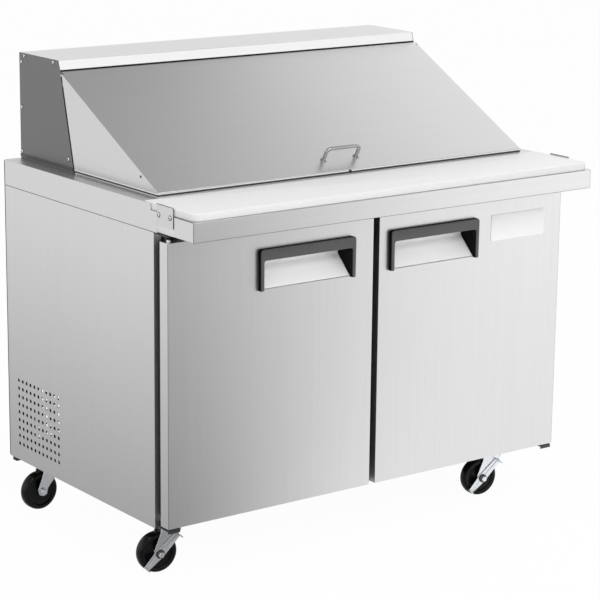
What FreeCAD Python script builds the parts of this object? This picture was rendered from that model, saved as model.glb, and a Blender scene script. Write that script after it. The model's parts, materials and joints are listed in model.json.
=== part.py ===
import FreeCAD, Part
import math
import os
import re
import Sketcher

# Refrigerated sandwich prep table: two doors, hooded pan well with a hinged lid,
# cutting-board shelf and four swivel casters. Millimetres, +Z up, front towards -Y,
# origin on the floor under the middle of the table.

doc = FreeCAD.newDocument("prep_table")

SIZES = {
    # overall
    "width": 1206, "depth": 864, "height": 1172, "table_height": 905, "caster_height": 127,
    # cabinet
    "sheet": 1.5, "base_thickness": 3, "wall": 45, "liner": 1, "band_height": 65,
    "shelf_reach": 164, "rear_cover": 8, "flange": 20, "header": 30, "mullion_width": 44,
    "machine_depth": 268, "machine_height": 263, "grille_inset": 20, "grille_slots": 9,
    "slot_height": 8, "slot_pitch": 24,
    # side vents
    "vent_columns": 11, "vent_rows": 9, "vent_pitch_y": 19.7, "vent_pitch_z": 21,
    "vent_radius": 4.75, "vent_back": 52, "vent_lift": 45,
    # top frame and board shelf
    "frame_overhang": 14, "board_seat": 16, "notch": 28, "collar_inset": 47, "collar_height": 3.5,
    "collar_width": 8, "front_rim": 52, "lip_height": 46, "fascia_depth": 82, "bracket_height": 52,
    "bracket_lip": 4, "screw_radius": 5, "screw_height": 1.8, "board_thickness": 18, "board_depth": 204,
    "board_front_gap": 4, "board_side_gap": 3, "board_corner": 22,
    # pans
    "pan_columns": 6, "pan_rows": 3, "pan_length": 176, "pan_width": 162, "pan_depth": 100,
    "pan_wall": 1, "pan_rim": 9, "pan_rim_height": 2, "pan_gap": 2, "pan_taper": 9, "pan_recess": 6, "bar_width": 12,
    "bar_height": 8, "pan_corner": 22,
    # hood
    "hood_inset": 48, "fascia_back": 192, "fascia_height": 23, "fascia_lean": 7, "hood_foot": 259,
    "hood_wall": 25, "hood_sheet": 1.5, "hood_screw_radius": 4.5,
    # lid
    "lid_front_rise": 12, "lid_rear_gap": 5, "lid_rear_drop": 3, "lid_sheet": 1.2,
    "lid_thickness": 34, "lid_slot": 12.5, "gasket": 2.5, "hinge_back": 6.5, "hinge_depth": 6, "rod_radius": 2.5,
    "knuckle_radius": 4.8, "knuckle_length": 60, "knuckle_spread": 480, "running_gap": 0.05,
    "lid_handle_span": 100, "lid_handle_reach": 33, "lid_handle_radius": 4.5,
    "lid_handle_bend": 12, "lid_handle_up": 45, "bumper_radius": 3, "bumper_height": 6,
    # doors
    "door_gap": 19, "door_bottom": 13, "door_top_gap": 17, "door_skin": 1.2, "door_shell": 33,
    "door_thickness": 58, "dike_inset": 30, "seal_inset": 10, "seal_width": 18,
    "seal_gap": 0.5, "hinge_in": 9, "hinge_forward": 42, "pin_radius": 5, "pin_length": 22,
    "hinge_plate": 4, "hinge_width": 34, "badge_width": 180, "badge_height": 67, "badge_x": 458,
    "badge_z": 746, "badge_thickness": 1.2,
    # door handles
    "left_handle_x": 210, "right_handle_x": 180, "handle_width": 282, "handle_top": 780,
    "handle_bottom": 679, "bezel_bar": 28, "bezel_leg": 13, "bezel_proud": 12, "recess_depth": 46,
    "bezel_cheek": 4, "bezel_corner": 8, "bezel_taper": 1, "ramp_rise": 44,
    # shelves and cold parts
    "shelf_wire": 6, "shelf_rod": 3, "shelf_wires": 13, "shelf_height": 420, "shelf_depth": 330,
    "shelf_clear": 16, "clip_reach": 26, "coil_width": 620, "coil_depth": 52, "coil_height": 130,
    "coil_fins": 24, "condenser_fins": 12, "fan_radius": 62, "fan_hub": 18, "fan_depth": 18,
    "blade_pitch": 28,
    "motor_radius": 30, "motor_length": 44, "shaft_radius": 3,
    "compressor_radius": 72, "compressor_height": 150, "condenser_width": 240,
    "condenser_height": 200, "condenser_depth": 60, "condenser_fan_radius": 86,
    # casters
    "caster_left": 64, "caster_right": 130, "caster_front": 42, "caster_back": 86,
    "wheel_radius": 50, "wheel_width": 29, "caster_trail": 32, "front_turn": -7.5,
    "rear_turn": 4,
    "plate_length": 92, "plate_width": 66, "plate_thickness": 3, "race_radius": 27,
    "race_height": 9, "fork_sheet": 3, "fork_gap": 2.5, "axle_radius": 5,
    "lever_sheet": 2.5, "lever_flange": 18,
}

# Places worked out from the sizes, as formulas in the same words.
PLACES = {
    "side": "width/2", "front": "-depth/2", "back": "depth/2",
    "body_front": "-depth/2+shelf_reach", "body_back": "depth/2-rear_cover",
    "base": "caster_height", "top": "table_height", "seam": "table_height-band_height",
    "floor": "caster_height+wall", "header_low": "seam-header",
    "machine_front": "body_back-machine_depth", "machine_top": "base+machine_height",
    "inner_side": "side-wall", "frame_front": "body_front-frame_overhang",
    "seat": "top-board_seat", "collar_front": "body_front+front_rim",
    "collar_side": "side-collar_inset", "collar_top": "top+collar_height",
    "well_front": "collar_front+18", "pan_top": "top-pan_recess",
    "pan_pitch_x": "pan_length+pan_gap", "pan_pitch_y": "pan_width+bar_width/2",
    "rim_low": "pan_top-pan_rim_height",
    "well_side": "pan_columns*pan_pitch_x/2+2",
    "well_back": "well_front+pan_rows*pan_pitch_y+bar_width",
    "hood_side": "side-hood_inset", "fascia_top_y": "body_back-fascia_back",
    "fascia_low_y": "fascia_top_y-fascia_lean", "fascia_low_z": "height-fascia_height",
    "hood_foot_y": "body_back-hood_foot",
    "lid_side": "hood_side+2", "lid_low": "collar_top+gasket", "lid_front_z": "top+lid_front_rise",
    "lid_rear_y": "fascia_low_y-lid_rear_gap", "lid_rear_z": "fascia_low_z-lid_rear_drop",
    "lid_run": "lid_rear_y-collar_front", "lid_rise": "lid_rear_z-lid_front_z",
    "lid_length": "sqrt(lid_run*lid_run+lid_rise*lid_rise)",
    "lid_inner_z": "lid_front_z+lid_sheet*(lid_rise-lid_length)/lid_run",
    "door_front": "body_front-door_thickness", "door_low": "base+door_bottom",
    "door_high": "seam-door_top_gap", "door_inner": "door_gap/2",
    "hinge_x": "side-hinge_in", "hinge_y": "body_front-hinge_forward",
    "recess_top": "handle_top-18", "recess_low": "handle_bottom+6",
    "recess_half": "handle_width/2-bezel_leg", "ramp_top": "recess_low+ramp_rise",
    "caster_front_y": "body_front+caster_front", "caster_back_y": "body_back-caster_back",
    "plate_low": "base-plate_thickness", "race_low": "plate_low-race_height",
    "shelf_z": "shelf_height", "coil_low": "machine_top+wall+40",
    "coil_back": "body_back-wall-20", "coil_front": "coil_back-coil_depth",
}

sheet_cells = doc.addObject("Spreadsheet::Sheet", "sizes")
for row, (word, number) in enumerate(SIZES.items(), start=1):
    sheet_cells.set("A%d" % row, word)
    sheet_cells.set("B%d" % row, str(number))
    sheet_cells.setAlias("B%d" % row, word)
doc.recompute()

PLANES = {"XY": "XY_Plane", "XZ": "XZ_Plane", "YZ": "YZ_Plane"}
TURNS = {"X": "create(<<rotation>>; create(<<vector>>; 0; 1; 0); 90)",
         "Y": "create(<<rotation>>; create(<<vector>>; 1; 0; 0); -90)",
         "Z": "create(<<rotation>>; create(<<vector>>; 0; 0; 1); 0)"}
nodes = []


def formula(text):
    """Turns a formula in words into an expression on the cells of the sheet."""
    def swap(match):
        word = match.group(0)
        if word in PLACES:
            return "(" + formula(PLACES[word]) + ")"
        return "sizes." + word if word in SIZES else word
    return re.sub(r"[a-z_]+", swap, str(text))


def value(text):
    """The number that a formula has with the sizes as they stand."""
    return float(sheet_cells.evalExpression(formula(text)))


def bind(thing, **settings):
    for name, text in settings.items():
        thing.setExpression(name, formula(text))
    return thing


def place(thing, x="0", y="0", z="0", turn=None, axis=(0, 0, 1)):
    """Puts a thing at x, y, z, turned by a formula in degrees about an axis."""
    rotation = "create(<<rotation>>; create(<<vector>>; %g; %g; %g); %s)" % (
        *axis, formula(turn or "0"))
    spot = "create(<<vector>>; %s; %s; %s)" % (formula(x), formula(y), formula(z))
    thing.setExpression("Placement", "create(<<placement>>; %s; %s)" % (spot, rotation))
    return thing


def box(name, x, y, z):
    """A block between two formulas on each axis."""
    block = doc.addObject("Part::Box", name)
    bind(block, Length="(%s)-(%s)" % (x[1], x[0]), Width="(%s)-(%s)" % (y[1], y[0]),
         Height="(%s)-(%s)" % (z[1], z[0]))
    return place(block, x[0], y[0], z[0])


def cylinder(name, axis, start, radius, length):
    """A round bar that starts at a point and runs along +X, +Y or +Z."""
    bar = doc.addObject("Part::Cylinder", name)
    bind(bar, Radius=radius, Height=length)
    spot = "create(<<vector>>; %s; %s; %s)" % tuple(formula(text) for text in start)
    bar.setExpression("Placement", "create(<<placement>>; %s; %s)" % (spot, TURNS[axis]))
    return bar


def screw_head(name, hand, x, y, z, radius, height):
    """A low conical screw head on a left or right face, its wide end on the face."""
    head = doc.addObject("Part::Cone", name)
    bind(head, Radius1=radius, Radius2="(%s)*0.55" % radius, Height=height)
    turn = "90" if hand == "right" else "-90"
    return place(head, x if hand == "right" else "-(%s)" % x, y, z, turn, (0, 1, 0))


def origin_plane(body, plane):
    return [f for f in body.Origin.OriginFeatures if f.Role == PLANES[plane]][0]


def flat_sketch(body, name, plane):
    sketch = body.newObject("Sketcher::SketchObject", name)
    sketch.AttachmentSupport = (origin_plane(body, plane), [""])
    sketch.MapMode = "FlatFace"
    return sketch


def outline(sketch, points):
    """A closed outline whose corners are formulas, each measured from the origin."""
    spots = [FreeCAD.Vector(value(u), value(v), 0) for u, v in points]
    count = len(points)
    first = sketch.GeometryCount
    for i in range(count):
        sketch.addGeometry(Part.LineSegment(spots[i], spots[(i + 1) % count]), False)
    for i in range(count):
        line = first + i
        sketch.addConstraint(Sketcher.Constraint("Coincident", line, 2, first + (i + 1) % count, 1))
        across = sketch.addConstraint(
            Sketcher.Constraint("DistanceX", -1, 1, line, 1, spots[i].x))
        sketch.setExpression("Constraints[%d]" % across, formula(points[i][0]))
        along = sketch.addConstraint(
            Sketcher.Constraint("DistanceY", -1, 1, line, 1, spots[i].y))
        sketch.setExpression("Constraints[%d]" % along, formula(points[i][1]))
    return sketch


def prism(name, plane, points, low, high):
    """An outline on an origin plane, padded between two places along its normal."""
    body = doc.addObject("PartDesign::Body", name)
    sketch = outline(flat_sketch(body, name + "_outline", plane), points)
    start = "-(%s)" % high if plane == "XZ" else low
    bind(sketch, **{"AttachmentOffset.Base.z": start})
    pad = body.newObject("PartDesign::Pad", name + "_pad")
    pad.Profile = sketch
    bind(pad, Length="(%s)-(%s)" % (high, low))
    return body


def round_edges(body, radius, chosen):
    """Rounds the edges of a body that the test `chosen` picks by their two ends."""
    doc.recompute()
    solid = body.Tip
    names = ["Edge%d" % (i + 1) for i, edge in enumerate(solid.Shape.Edges)
             if chosen(edge.Vertexes[0].Point, edge.Vertexes[-1].Point)]
    fillet = body.newObject("PartDesign::Fillet", body.Name + "_round")
    fillet.Base = (solid, names)
    bind(fillet, Radius=radius)
    body.Tip = fillet
    return body


def turned(name, points):
    """A piece turned on a lathe about Z: its half section as radius and height."""
    body = doc.addObject("PartDesign::Body", name)
    sketch = outline(flat_sketch(body, name + "_section", "XZ"), points)
    lathe = body.newObject("PartDesign::Revolution", name + "_turn")
    lathe.Profile = sketch
    lathe.ReferenceAxis = (sketch, ["V_Axis"])
    lathe.Angle = 360
    return body


def cut(name, base, *tools):
    """The base less its tools, one after the other."""
    for number, tool in enumerate(tools):
        result = doc.addObject("Part::Cut", "%s_cut%d" % (name, number))
        result.Base, result.Tool = base, tool
        base = result
    return base


def fuse(name, *items):
    joined = doc.addObject("Part::MultiFuse", name)
    joined.Shapes = list(items)
    joined.Refine = True
    return joined


def group(name, *items):
    """Separate solids of one kind, kept in one node."""
    kept = doc.addObject("Part::Compound", name)
    kept.Links = list(items)
    return kept


def mirrored(name, item, normal=(1, 0, 0)):
    image = doc.addObject("Part::Mirroring", name)
    image.Source = item
    image.Normal = normal
    return image


def copy_of(name, item, x="0", y="0", z="0", turn=None):
    twin = doc.addObject("App::Link", name)
    twin.LinkedObject = item
    twin.LinkTransform = True
    return place(twin, x, y, z, turn)


def node(label, thing):
    thing.Label = label
    nodes.append(thing)
    return thing


def both_sides(x_low, x_high):
    """The two X spans of a pair of pieces that mirror each other."""
    return (("left", ("-(%s)" % x_high, "-(%s)" % x_low)), ("right", (x_low, x_high)))


def cabinet():
    """Folded side panels with round vents, base, back, louvred cover, foam and liner."""
    panel = prism("side_sheet", "XY", [
        ("-side", "body_front"), ("-side+flange", "body_front"),
        ("-side+flange", "body_front+sheet"), ("-side+sheet", "body_front+sheet"),
        ("-side+sheet", "body_back-sheet"), ("-side+flange", "body_back-sheet"),
        ("-side+flange", "body_back"), ("-side", "body_back")], "base", "seam")
    hole = flat_sketch(panel, "vent_hole", "YZ")
    hole.addGeometry(Part.Circle(FreeCAD.Vector(0, value("base+50"), 0),
                                 FreeCAD.Vector(0, 0, 1), value("vent_radius")), False)
    marks = [("Radius", "vent_radius", Sketcher.Constraint("Radius", 0, value("vent_radius"))),
             ("across", "body_back-vent_back-(vent_columns-1)*vent_pitch_y",
              Sketcher.Constraint("DistanceX", -1, 1, 0, 3, 10.0)),
             ("up", "base+vent_lift", Sketcher.Constraint("DistanceY", -1, 1, 0, 3, 10.0))]
    for _, text, constraint in marks:
        number = hole.addConstraint(constraint)
        hole.setExpression("Constraints[%d]" % number, formula(text))
    punch = panel.newObject("PartDesign::Pocket", "vent_punch")
    punch.Profile = hole
    punch.Type = "ThroughAll"
    punch.Midplane = True
    rows = panel.newObject("PartDesign::MultiTransform", "vents")
    rows.Originals = [punch]
    steps = []
    for name, role, count, pitch in (("vents_along", "Y_Axis", "vent_columns", "vent_pitch_y"),
                                     ("vents_up", "Z_Axis", "vent_rows", "vent_pitch_z")):
        line = doc.addObject("PartDesign::LinearPattern", name)
        line.Direction = ([f for f in panel.Origin.OriginFeatures if f.Role == role][0], [""])
        line.Mode = "Spacing"
        bind(line, Offset=pitch, Occurrences=count)
        panel.addObject(line)
        steps.append(line)
    rows.Transformations = steps
    panel.Tip = rows
    node("left_side_panel", panel)
    node("right_side_panel", mirrored("right_side_sheet", panel))

    inside = ("-side+sheet", "side-sheet")
    node("base_pan", box("base_pan", inside, ("body_front+sheet", "body_back-sheet"),
                         ("base", "base+base_thickness")))
    behind = ("-side+flange", "side-flange")
    node("rear_panel", box("rear_panel", behind, ("body_back-sheet", "body_back"),
                           ("machine_top", "seam")))

    cover_x = ("-side+grille_inset", "side-grille_inset")
    cover = box("grille_tray", cover_x, ("body_back", "back"), ("base", "machine_top"))
    hollow = box("grille_hollow", ("-side+grille_inset+sheet", "side-grille_inset-sheet"),
                 ("body_back-1", "back-sheet"), ("base+sheet", "machine_top-sheet"))
    slots = [box("grille_slot_%d" % i, ("-side+grille_inset+60", "side-grille_inset-60"),
                 ("back-sheet-1", "back+1"),
                 ("base+30+%d*slot_pitch" % i, "base+30+%d*slot_pitch+slot_height" % i))
             for i in range(SIZES["grille_slots"])]
    node("rear_grille", cut("grille", cover, hollow, fuse("grille_slots", *slots)))

    foam_low = "base+base_thickness"
    foam = prism("foam_block", "YZ", [
        ("body_front+sheet", foam_low), ("machine_front", foam_low),
        ("machine_front", "machine_top"), ("body_back-sheet", "machine_top"),
        ("body_back-sheet", "seam"), ("body_front+sheet", "seam")], *inside)
    outer = prism("cavity_outer", "YZ", cavity("liner"), "-inner_side-liner", "inner_side+liner")
    inner = prism("cavity_inner", "YZ", cavity("0"), "-inner_side", "inner_side")
    node("cabinet_insulation", cut("foam", foam, outer))
    face = "body_front+sheet"
    trim = box("liner_trim", ("-width", "width"), (face + "-60", face), ("0", "height"))
    over = box("liner_over", ("-width", "width"), ("front", "back"), ("seam", "height"))
    node("cabinet_liner", cut("liner", outer, inner, trim, over))
    node("door_mullion", box("door_mullion", ("-mullion_width/2", "mullion_width/2"),
                             ("body_front", "body_front+wall-2"), ("floor", "header_low")))


def cavity(grow):
    """The cold space in side view, from the door opening back and up to the pan well."""
    return [("body_front-20", "floor-%s" % grow), ("machine_front-wall+%s" % grow, "floor-%s" % grow),
            ("machine_front-wall+%s" % grow, "machine_top+wall-%s" % grow),
            ("body_back-wall+%s" % grow, "machine_top+wall-%s" % grow),
            ("body_back-wall+%s" % grow, "seam+20"), ("body_front+wall-%s" % grow, "seam+20"),
            ("body_front+wall-%s" % grow, "header_low+%s" % grow),
            ("body_front-20", "header_low+%s" % grow)]


def top():
    """Deck with the pan well, board shelf, its brackets, screws and the board."""
    deck = prism("deck", "YZ", [
        ("frame_front", "seam"), ("body_back", "seam"), ("body_back", "top"),
        ("body_front+notch+16", "top"), ("body_front+notch+16", "seat"),
        ("frame_front", "seat")], "-side", "side")
    cheeks = [box("deck_cheek_" + hand, span, ("frame_front+notch", "body_front+notch+16"),
                  ("seat", "top"))
              for hand, span in both_sides("side-sheet", "side")]
    collar = box("collar", ("-collar_side", "collar_side"), ("collar_front", "hood_foot_y-8"),
                 ("top", "collar_top"))
    inner = box("collar_inside", ("-collar_side+collar_width", "collar_side-collar_width"),
                ("collar_front+collar_width", "hood_foot_y"), ("top-1", "collar_top+1"))
    ring = cut("collar_ring", collar, inner)
    well = box("well", ("-well_side", "well_side"), ("well_front", "well_back"),
               ("seam-1", "collar_top+1"))
    node("top_frame", cut("deck_well", fuse("deck_whole", deck, ring, *cheeks), well))

    shelf_y = ("front", "frame_front")
    plate = box("shelf_plate", ("-side+sheet", "side-sheet"), shelf_y, ("seat-sheet", "seat"))
    lip = box("shelf_lip", ("-side", "side"), ("front", "front+sheet"), ("seat-lip_height", "seat"))
    hem = box("shelf_hem", ("-side", "side"), ("front", "front+12"),
              ("seat-lip_height", "seat-lip_height+sheet"))
    ends = [box("shelf_end_" + hand, span, ("front", "front+fascia_depth-1"),
                ("seat-lip_height", "seat"))
            for hand, span in both_sides("side-sheet", "side")]
    tabs = [box("shelf_tab_" + hand, span, ("front+fascia_depth", "frame_front"),
                ("seat-lip_height+12", "seat"))
            for hand, span in both_sides("side-2*sheet", "side-sheet")]
    node("board_shelf", fuse("shelf", plate, lip, hem, *ends, *tabs))

    brackets = []
    heads = []
    for hand, span in both_sides("side-sheet", "side"):
        brackets.append(box("bracket_" + hand, span, ("front+fascia_depth", "frame_front"),
                            ("top+bracket_lip-bracket_height", "top+bracket_lip")))
        for spot, y in (("front", "front+fascia_depth+14"), ("rear", "frame_front-7")):
            heads.append(screw_head("bracket_screw_%s_%s" % (hand, spot), hand, "side", y,
                                    "top+bracket_lip-25", "screw_radius", "screw_height"))
    node("shelf_brackets", group("brackets", *brackets))

    board = prism("board", "XY", [
        ("-side+board_side_gap", "front+board_front_gap"),
        ("side-board_side_gap", "front+board_front_gap"),
        ("side-board_side_gap", "front+board_front_gap+board_depth"),
        ("-side+board_side_gap", "front+board_front_gap+board_depth")],
        "seat", "seat+board_thickness")
    front_y = value("front+board_front_gap") + 1
    round_edges(board, "board_corner", lambda a, b: abs(a.z - b.z) > 1 and a.y < front_y)
    node("cutting_board", board)
    return heads


def hood():
    """Cover sheet, two end plates, foamed inner wall and the end screws."""
    edge = [("hood_foot_y", "top"), ("body_back", "top"), ("body_back", "height"),
            ("fascia_top_y", "height"), ("fascia_low_y", "fascia_low_z")]
    ends = [prism("hood_end_" + hand, "YZ", edge, *span)
            for hand, span in both_sides("hood_side-hood_sheet", "hood_side")]
    node("hood_ends", group("hood_ends", *ends))
    cover = prism("hood_cover", "YZ", [
        ("body_back-hood_sheet", "top"), ("body_back", "top"), ("body_back", "height"),
        ("fascia_top_y", "height"), ("fascia_low_y", "fascia_low_z"),
        ("fascia_low_y+10", "fascia_low_z"), ("fascia_low_y+10", "fascia_low_z+hood_sheet"),
        ("fascia_low_y+1.6*hood_sheet", "fascia_low_z+hood_sheet"),
        ("fascia_top_y+hood_sheet", "height-hood_sheet"),
        ("body_back-hood_sheet", "height-hood_sheet")],
        "-hood_side+hood_sheet", "hood_side-hood_sheet")
    node("hood_cover", cover)
    foam = prism("hood_foam", "YZ", [
        ("body_back-hood_sheet-hood_wall", "top"), ("body_back-hood_sheet", "top"),
        ("body_back-hood_sheet", "height-hood_sheet"),
        ("fascia_top_y+14", "height-hood_sheet"),
        ("fascia_top_y+14", "height-hood_sheet-hood_wall"),
        ("body_back-hood_sheet-hood_wall", "height-hood_sheet-hood_wall")],
        "-hood_side+hood_sheet", "hood_side-hood_sheet")
    node("hood_insulation", foam)
    heads = []
    spots = [("body_back-24", "height-7"), ("body_back-10", "height-23"),
             ("body_back-8", "(height+top)/2-4"), ("body_back-6", "top+17"),
             ("fascia_top_y+25", "height-7"), ("hood_foot_y+24", "top+30")]
    for hand in ("left", "right"):
        for number, (y, z) in enumerate(spots):
            heads.append(screw_head("hood_screw_%s_%d" % (hand, number), hand, "hood_side", y, z,
                                    "hood_screw_radius", "screw_height"))
    return heads


def on_lid(along, deep):
    """A point of the lid in side view: along its slope from the front, and below its face."""
    return ("collar_front+(%s)*lid_run/lid_length+(%s)*lid_rise/lid_length" % (along, deep),
            "lid_front_z+(%s)*lid_rise/lid_length-(%s)*lid_run/lid_length" % (along, deep))


def lid():
    """Folded skin with cheeks and relief slots, inner panel, seal, handle, bumper, knuckles."""
    tilt = "atan2(lid_rise; lid_run)"
    skin = prism("lid_sheet", "YZ", [
        ("collar_front", "lid_low"), ("collar_front", "lid_front_z"), on_lid("lid_length", "0"),
        on_lid("lid_length", "lid_sheet"), ("collar_front+lid_sheet", "lid_inner_z"),
        ("collar_front+lid_sheet", "lid_low")], "-lid_side", "lid_side")
    cheeks = [prism("lid_cheek_" + hand, "YZ", [
        ("collar_front", "lid_low"), ("collar_front", "lid_front_z"),
        on_lid("lid_length-hinge_back", "0"), ("hood_foot_y-8", "lid_low")], *span)
        for hand, span in both_sides("lid_side-lid_sheet", "lid_side")]
    slots = [prism("lid_slot_" + hand, "YZ", [
        on_lid("lid_length-lid_slot", "-1"), on_lid("lid_length+1", "-1"),
        on_lid("lid_length+1", "lid_sheet+0.3"), on_lid("lid_length-lid_slot", "lid_sheet+0.3")], *span)
        for hand, span in both_sides("hood_side-hood_sheet-0.6", "hood_side+0.5")]
    node("lid_skin", cut("lid_slotted", fuse("lid_folded", skin, *cheeks), *slots))

    low_at = "lid_sheet"
    inner = prism("lid_inner", "YZ", [
        ("collar_front+lid_sheet", "lid_low"),
        ("collar_front+lid_sheet", "lid_inner_z"),
        on_lid("lid_length-14", low_at), on_lid("lid_length-14", "lid_thickness"),
        ("collar_front+(lid_thickness*lid_length-(lid_front_z-lid_low)*lid_run)/lid_rise",
         "lid_low")], "-hood_side+hood_sheet+1", "hood_side-hood_sheet-1")
    node("lid_liner", inner)

    seal_z = ("collar_top+0.4", "lid_low")
    front_seal = box("lid_seal_front", ("-lid_side", "lid_side"),
                     ("collar_front", "collar_front+7"), seal_z)
    side_seals = [box("lid_seal_" + hand, span, ("collar_front", "hood_foot_y-12"), seal_z)
                  for hand, span in both_sides("lid_side-7", "lid_side")]
    node("lid_gasket", fuse("lid_seal", front_seal, *side_seals))

    rod_y, rod_z = on_lid("lid_length-hinge_back", "hinge_depth")
    rod_half = "hood_side-hood_sheet"
    rod = cylinder("hinge_rod", "X", ("-" + rod_half, rod_y, rod_z), "rod_radius", "2*(%s)" % rod_half)
    node("lid_hinge_rod", rod)
    knuckles = []
    for number, centre in enumerate(("-knuckle_spread", "0", "knuckle_spread")):
        start = "%s-knuckle_length/2" % centre
        end = "%s+knuckle_length/2" % centre
        barrel = cylinder("knuckle_%d" % number, "X", (start, rod_y, rod_z), "knuckle_radius",
                          "knuckle_length")
        leaf = prism("knuckle_leaf_%d" % number, "YZ", [
            on_lid("lid_length-14", "lid_sheet"), on_lid("lid_length-hinge_back", "lid_sheet"),
            on_lid("lid_length-hinge_back", "hinge_depth"), on_lid("lid_length-14", "hinge_depth")],
            start, end)
        bore = cylinder("knuckle_bore_%d" % number, "X", (start + "-1", rod_y, rod_z),
                        "rod_radius+running_gap", "knuckle_length+2")
        knuckles.append(cut("knuckle_%d" % number, fuse("knuckle_whole_%d" % number, barrel, leaf),
                            bore))
    node("lid_hinge_knuckles", group("knuckles", *knuckles))

    foot_y, foot_z = on_lid("lid_handle_up", "0")
    grip = doc.addObject("PartDesign::Body", "lid_grip")
    half, rise, bend = (value(w) for w in ("lid_handle_span/2", "lid_handle_reach",
                                           "lid_handle_bend"))
    path = flat_sketch(grip, "grip_path", "XZ")
    vector = FreeCAD.Vector
    path.addGeometry(Part.LineSegment(vector(-half, 0, 0), vector(-half, rise - bend, 0)), False)
    path.addGeometry(Part.ArcOfCircle(Part.Circle(
        vector(bend - half, rise - bend, 0), vector(0, 0, 1), bend), math.pi / 2, math.pi), False)
    path.addGeometry(Part.LineSegment(vector(bend - half, rise, 0), vector(half - bend, rise, 0)),
                     False)
    path.addGeometry(Part.ArcOfCircle(Part.Circle(
        vector(half - bend, rise - bend, 0), vector(0, 0, 1), bend), 0, math.pi / 2), False)
    path.addGeometry(Part.LineSegment(vector(half, rise - bend, 0), vector(half, 0, 0)), False)
    ring = flat_sketch(grip, "grip_section", "XY")
    ring.addGeometry(Part.Circle(vector(-half, 0, 0), vector(0, 0, 1),
                                 value("lid_handle_radius")), False)
    pipe = grip.newObject("PartDesign::AdditivePipe", "grip_pipe")
    pipe.Profile = ring
    pipe.Spine = path
    place(grip, "0", foot_y, foot_z, tilt, (1, 0, 0))
    node("lid_handle", grip)

    bumper = cylinder("bumper", "Y", ("0", "collar_front-bumper_height", "lid_low+3"), "bumper_radius",
                      "bumper_height")
    node("lid_bumper", bumper)


def door(hand, sign, handle_x):
    """One door: folded skin, foamed inner, seal, moulded handle and its steel scoop."""
    def span(low, high):
        return ("-(%s)" % high, "-(%s)" % low) if sign < 0 else (low, high)

    def at(text):
        return "-(%s)" % text if sign < 0 else text

    shell_back = "door_front+door_shell"
    edge = span("door_inner", "side")
    inside = span("door_inner+door_skin", "side-door_skin")
    high = ("door_low+door_skin", "door_high-door_skin")
    window_x = span("%s-recess_half-bezel_cheek" % handle_x, "%s+recess_half+bezel_cheek" % handle_x)
    window = box(hand + "_window", window_x, ("door_front-2", "door_front+recess_depth+4"),
                 ("recess_low-4", "recess_top+4"))
    bores = [cylinder("%s_bore_%s" % (hand, end), "Z", (at("hinge_x"), "hinge_y", z),
                      "pin_radius+running_gap", "pin_length+4")
             for end, z in (("low", "door_low-1"), ("high", "door_high-pin_length-3"))]
    bore_pair = group(hand + "_bores", *bores)
    tray = box(hand + "_tray", edge, ("door_front", shell_back), ("door_low", "door_high"))
    hollow = box(hand + "_tray_hollow", inside, ("door_front+door_skin", shell_back + "+1"), high)
    node(hand + "_door_skin", cut(hand + "_skin", tray, hollow, window, bore_pair))

    core = box(hand + "_core", inside, ("door_front+door_skin", shell_back), high)
    dike = box(hand + "_dike", span("door_inner+dike_inset", "side-dike_inset"),
               (shell_back, "body_front-seal_gap-4"),
               ("door_low+dike_inset", "door_high-dike_inset"))
    node(hand + "_door_liner", cut(hand + "_liner", fuse(hand + "_foamed", core, dike), window,
                                   bore_pair))

    seal_y = (shell_back, "body_front-seal_gap")
    ring = box(hand + "_seal_block", span("door_inner+seal_inset", "side-seal_inset"), seal_y,
               ("door_low+seal_inset", "door_high-seal_inset"))
    reach = "seal_inset+seal_width"
    gap = box(hand + "_seal_gap", span("door_inner+" + reach, "side-" + reach),
              (shell_back + "-1", "body_front"), ("door_low+" + reach, "door_high-" + reach))
    node(hand + "_door_gasket", cut(hand + "_seal", ring, gap))

    half = "handle_width/2"
    low_half = "handle_width/2-bezel_taper"
    hx = at(handle_x)
    bezel = prism(hand + "_bezel", "XZ", [
        (hx + "-(%s)" % low_half, "handle_bottom"), (hx + "-recess_half", "handle_bottom"),
        (hx + "-recess_half", "handle_top-bezel_bar"), (hx + "+recess_half", "handle_top-bezel_bar"),
        (hx + "+recess_half", "handle_bottom"), (hx + "+(%s)" % low_half, "handle_bottom"),
        (hx + "+(%s)" % half, "handle_top"), (hx + "-(%s)" % half, "handle_top")],
        "door_front-bezel_proud", "door_front")
    centre = value(hx)
    round_edges(bezel, "bezel_corner", lambda a, b: abs(a.y - b.y) > 1 and (
        a.z > value("handle_top") - 1 or (a.z > value("handle_bottom") + 1
                                          and abs(abs(a.x - centre) - value("recess_half")) < 1)))
    cheeks = []
    for side, low, up in (("inner", "-recess_half-bezel_cheek", "-recess_half"),
                          ("outer", "+recess_half", "+recess_half+bezel_cheek")):
        cheeks.append(prism("%s_cheek_%s" % (hand, side), "YZ", [
            ("door_front-0.5", "recess_low-3"), ("door_front+recess_depth+3", "ramp_top"),
            ("door_front+recess_depth+3", "recess_top+3"), ("door_front-0.5", "recess_top+3")],
            hx + low, hx + up))
    node(hand + "_door_handle", fuse(hand + "_moulding", bezel, *cheeks))

    scoop_back = "door_front+recess_depth+2"
    scoop = prism(hand + "_scoop", "YZ", [
        ("door_front", "recess_low-3"), (scoop_back, "ramp_top"), (scoop_back, "recess_top+3"),
        ("door_front+door_skin", "recess_top+3"), ("door_front+door_skin", "recess_top+3-sheet"),
        (scoop_back + "-sheet", "recess_top+3-sheet"), (scoop_back + "-sheet", "ramp_top+0.6*sheet"),
        ("door_front", "recess_low-3+1.6*sheet")],
        hx + "-recess_half+0.2", hx + "+recess_half-0.2")
    node(hand + "_door_scoop", scoop)


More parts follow.
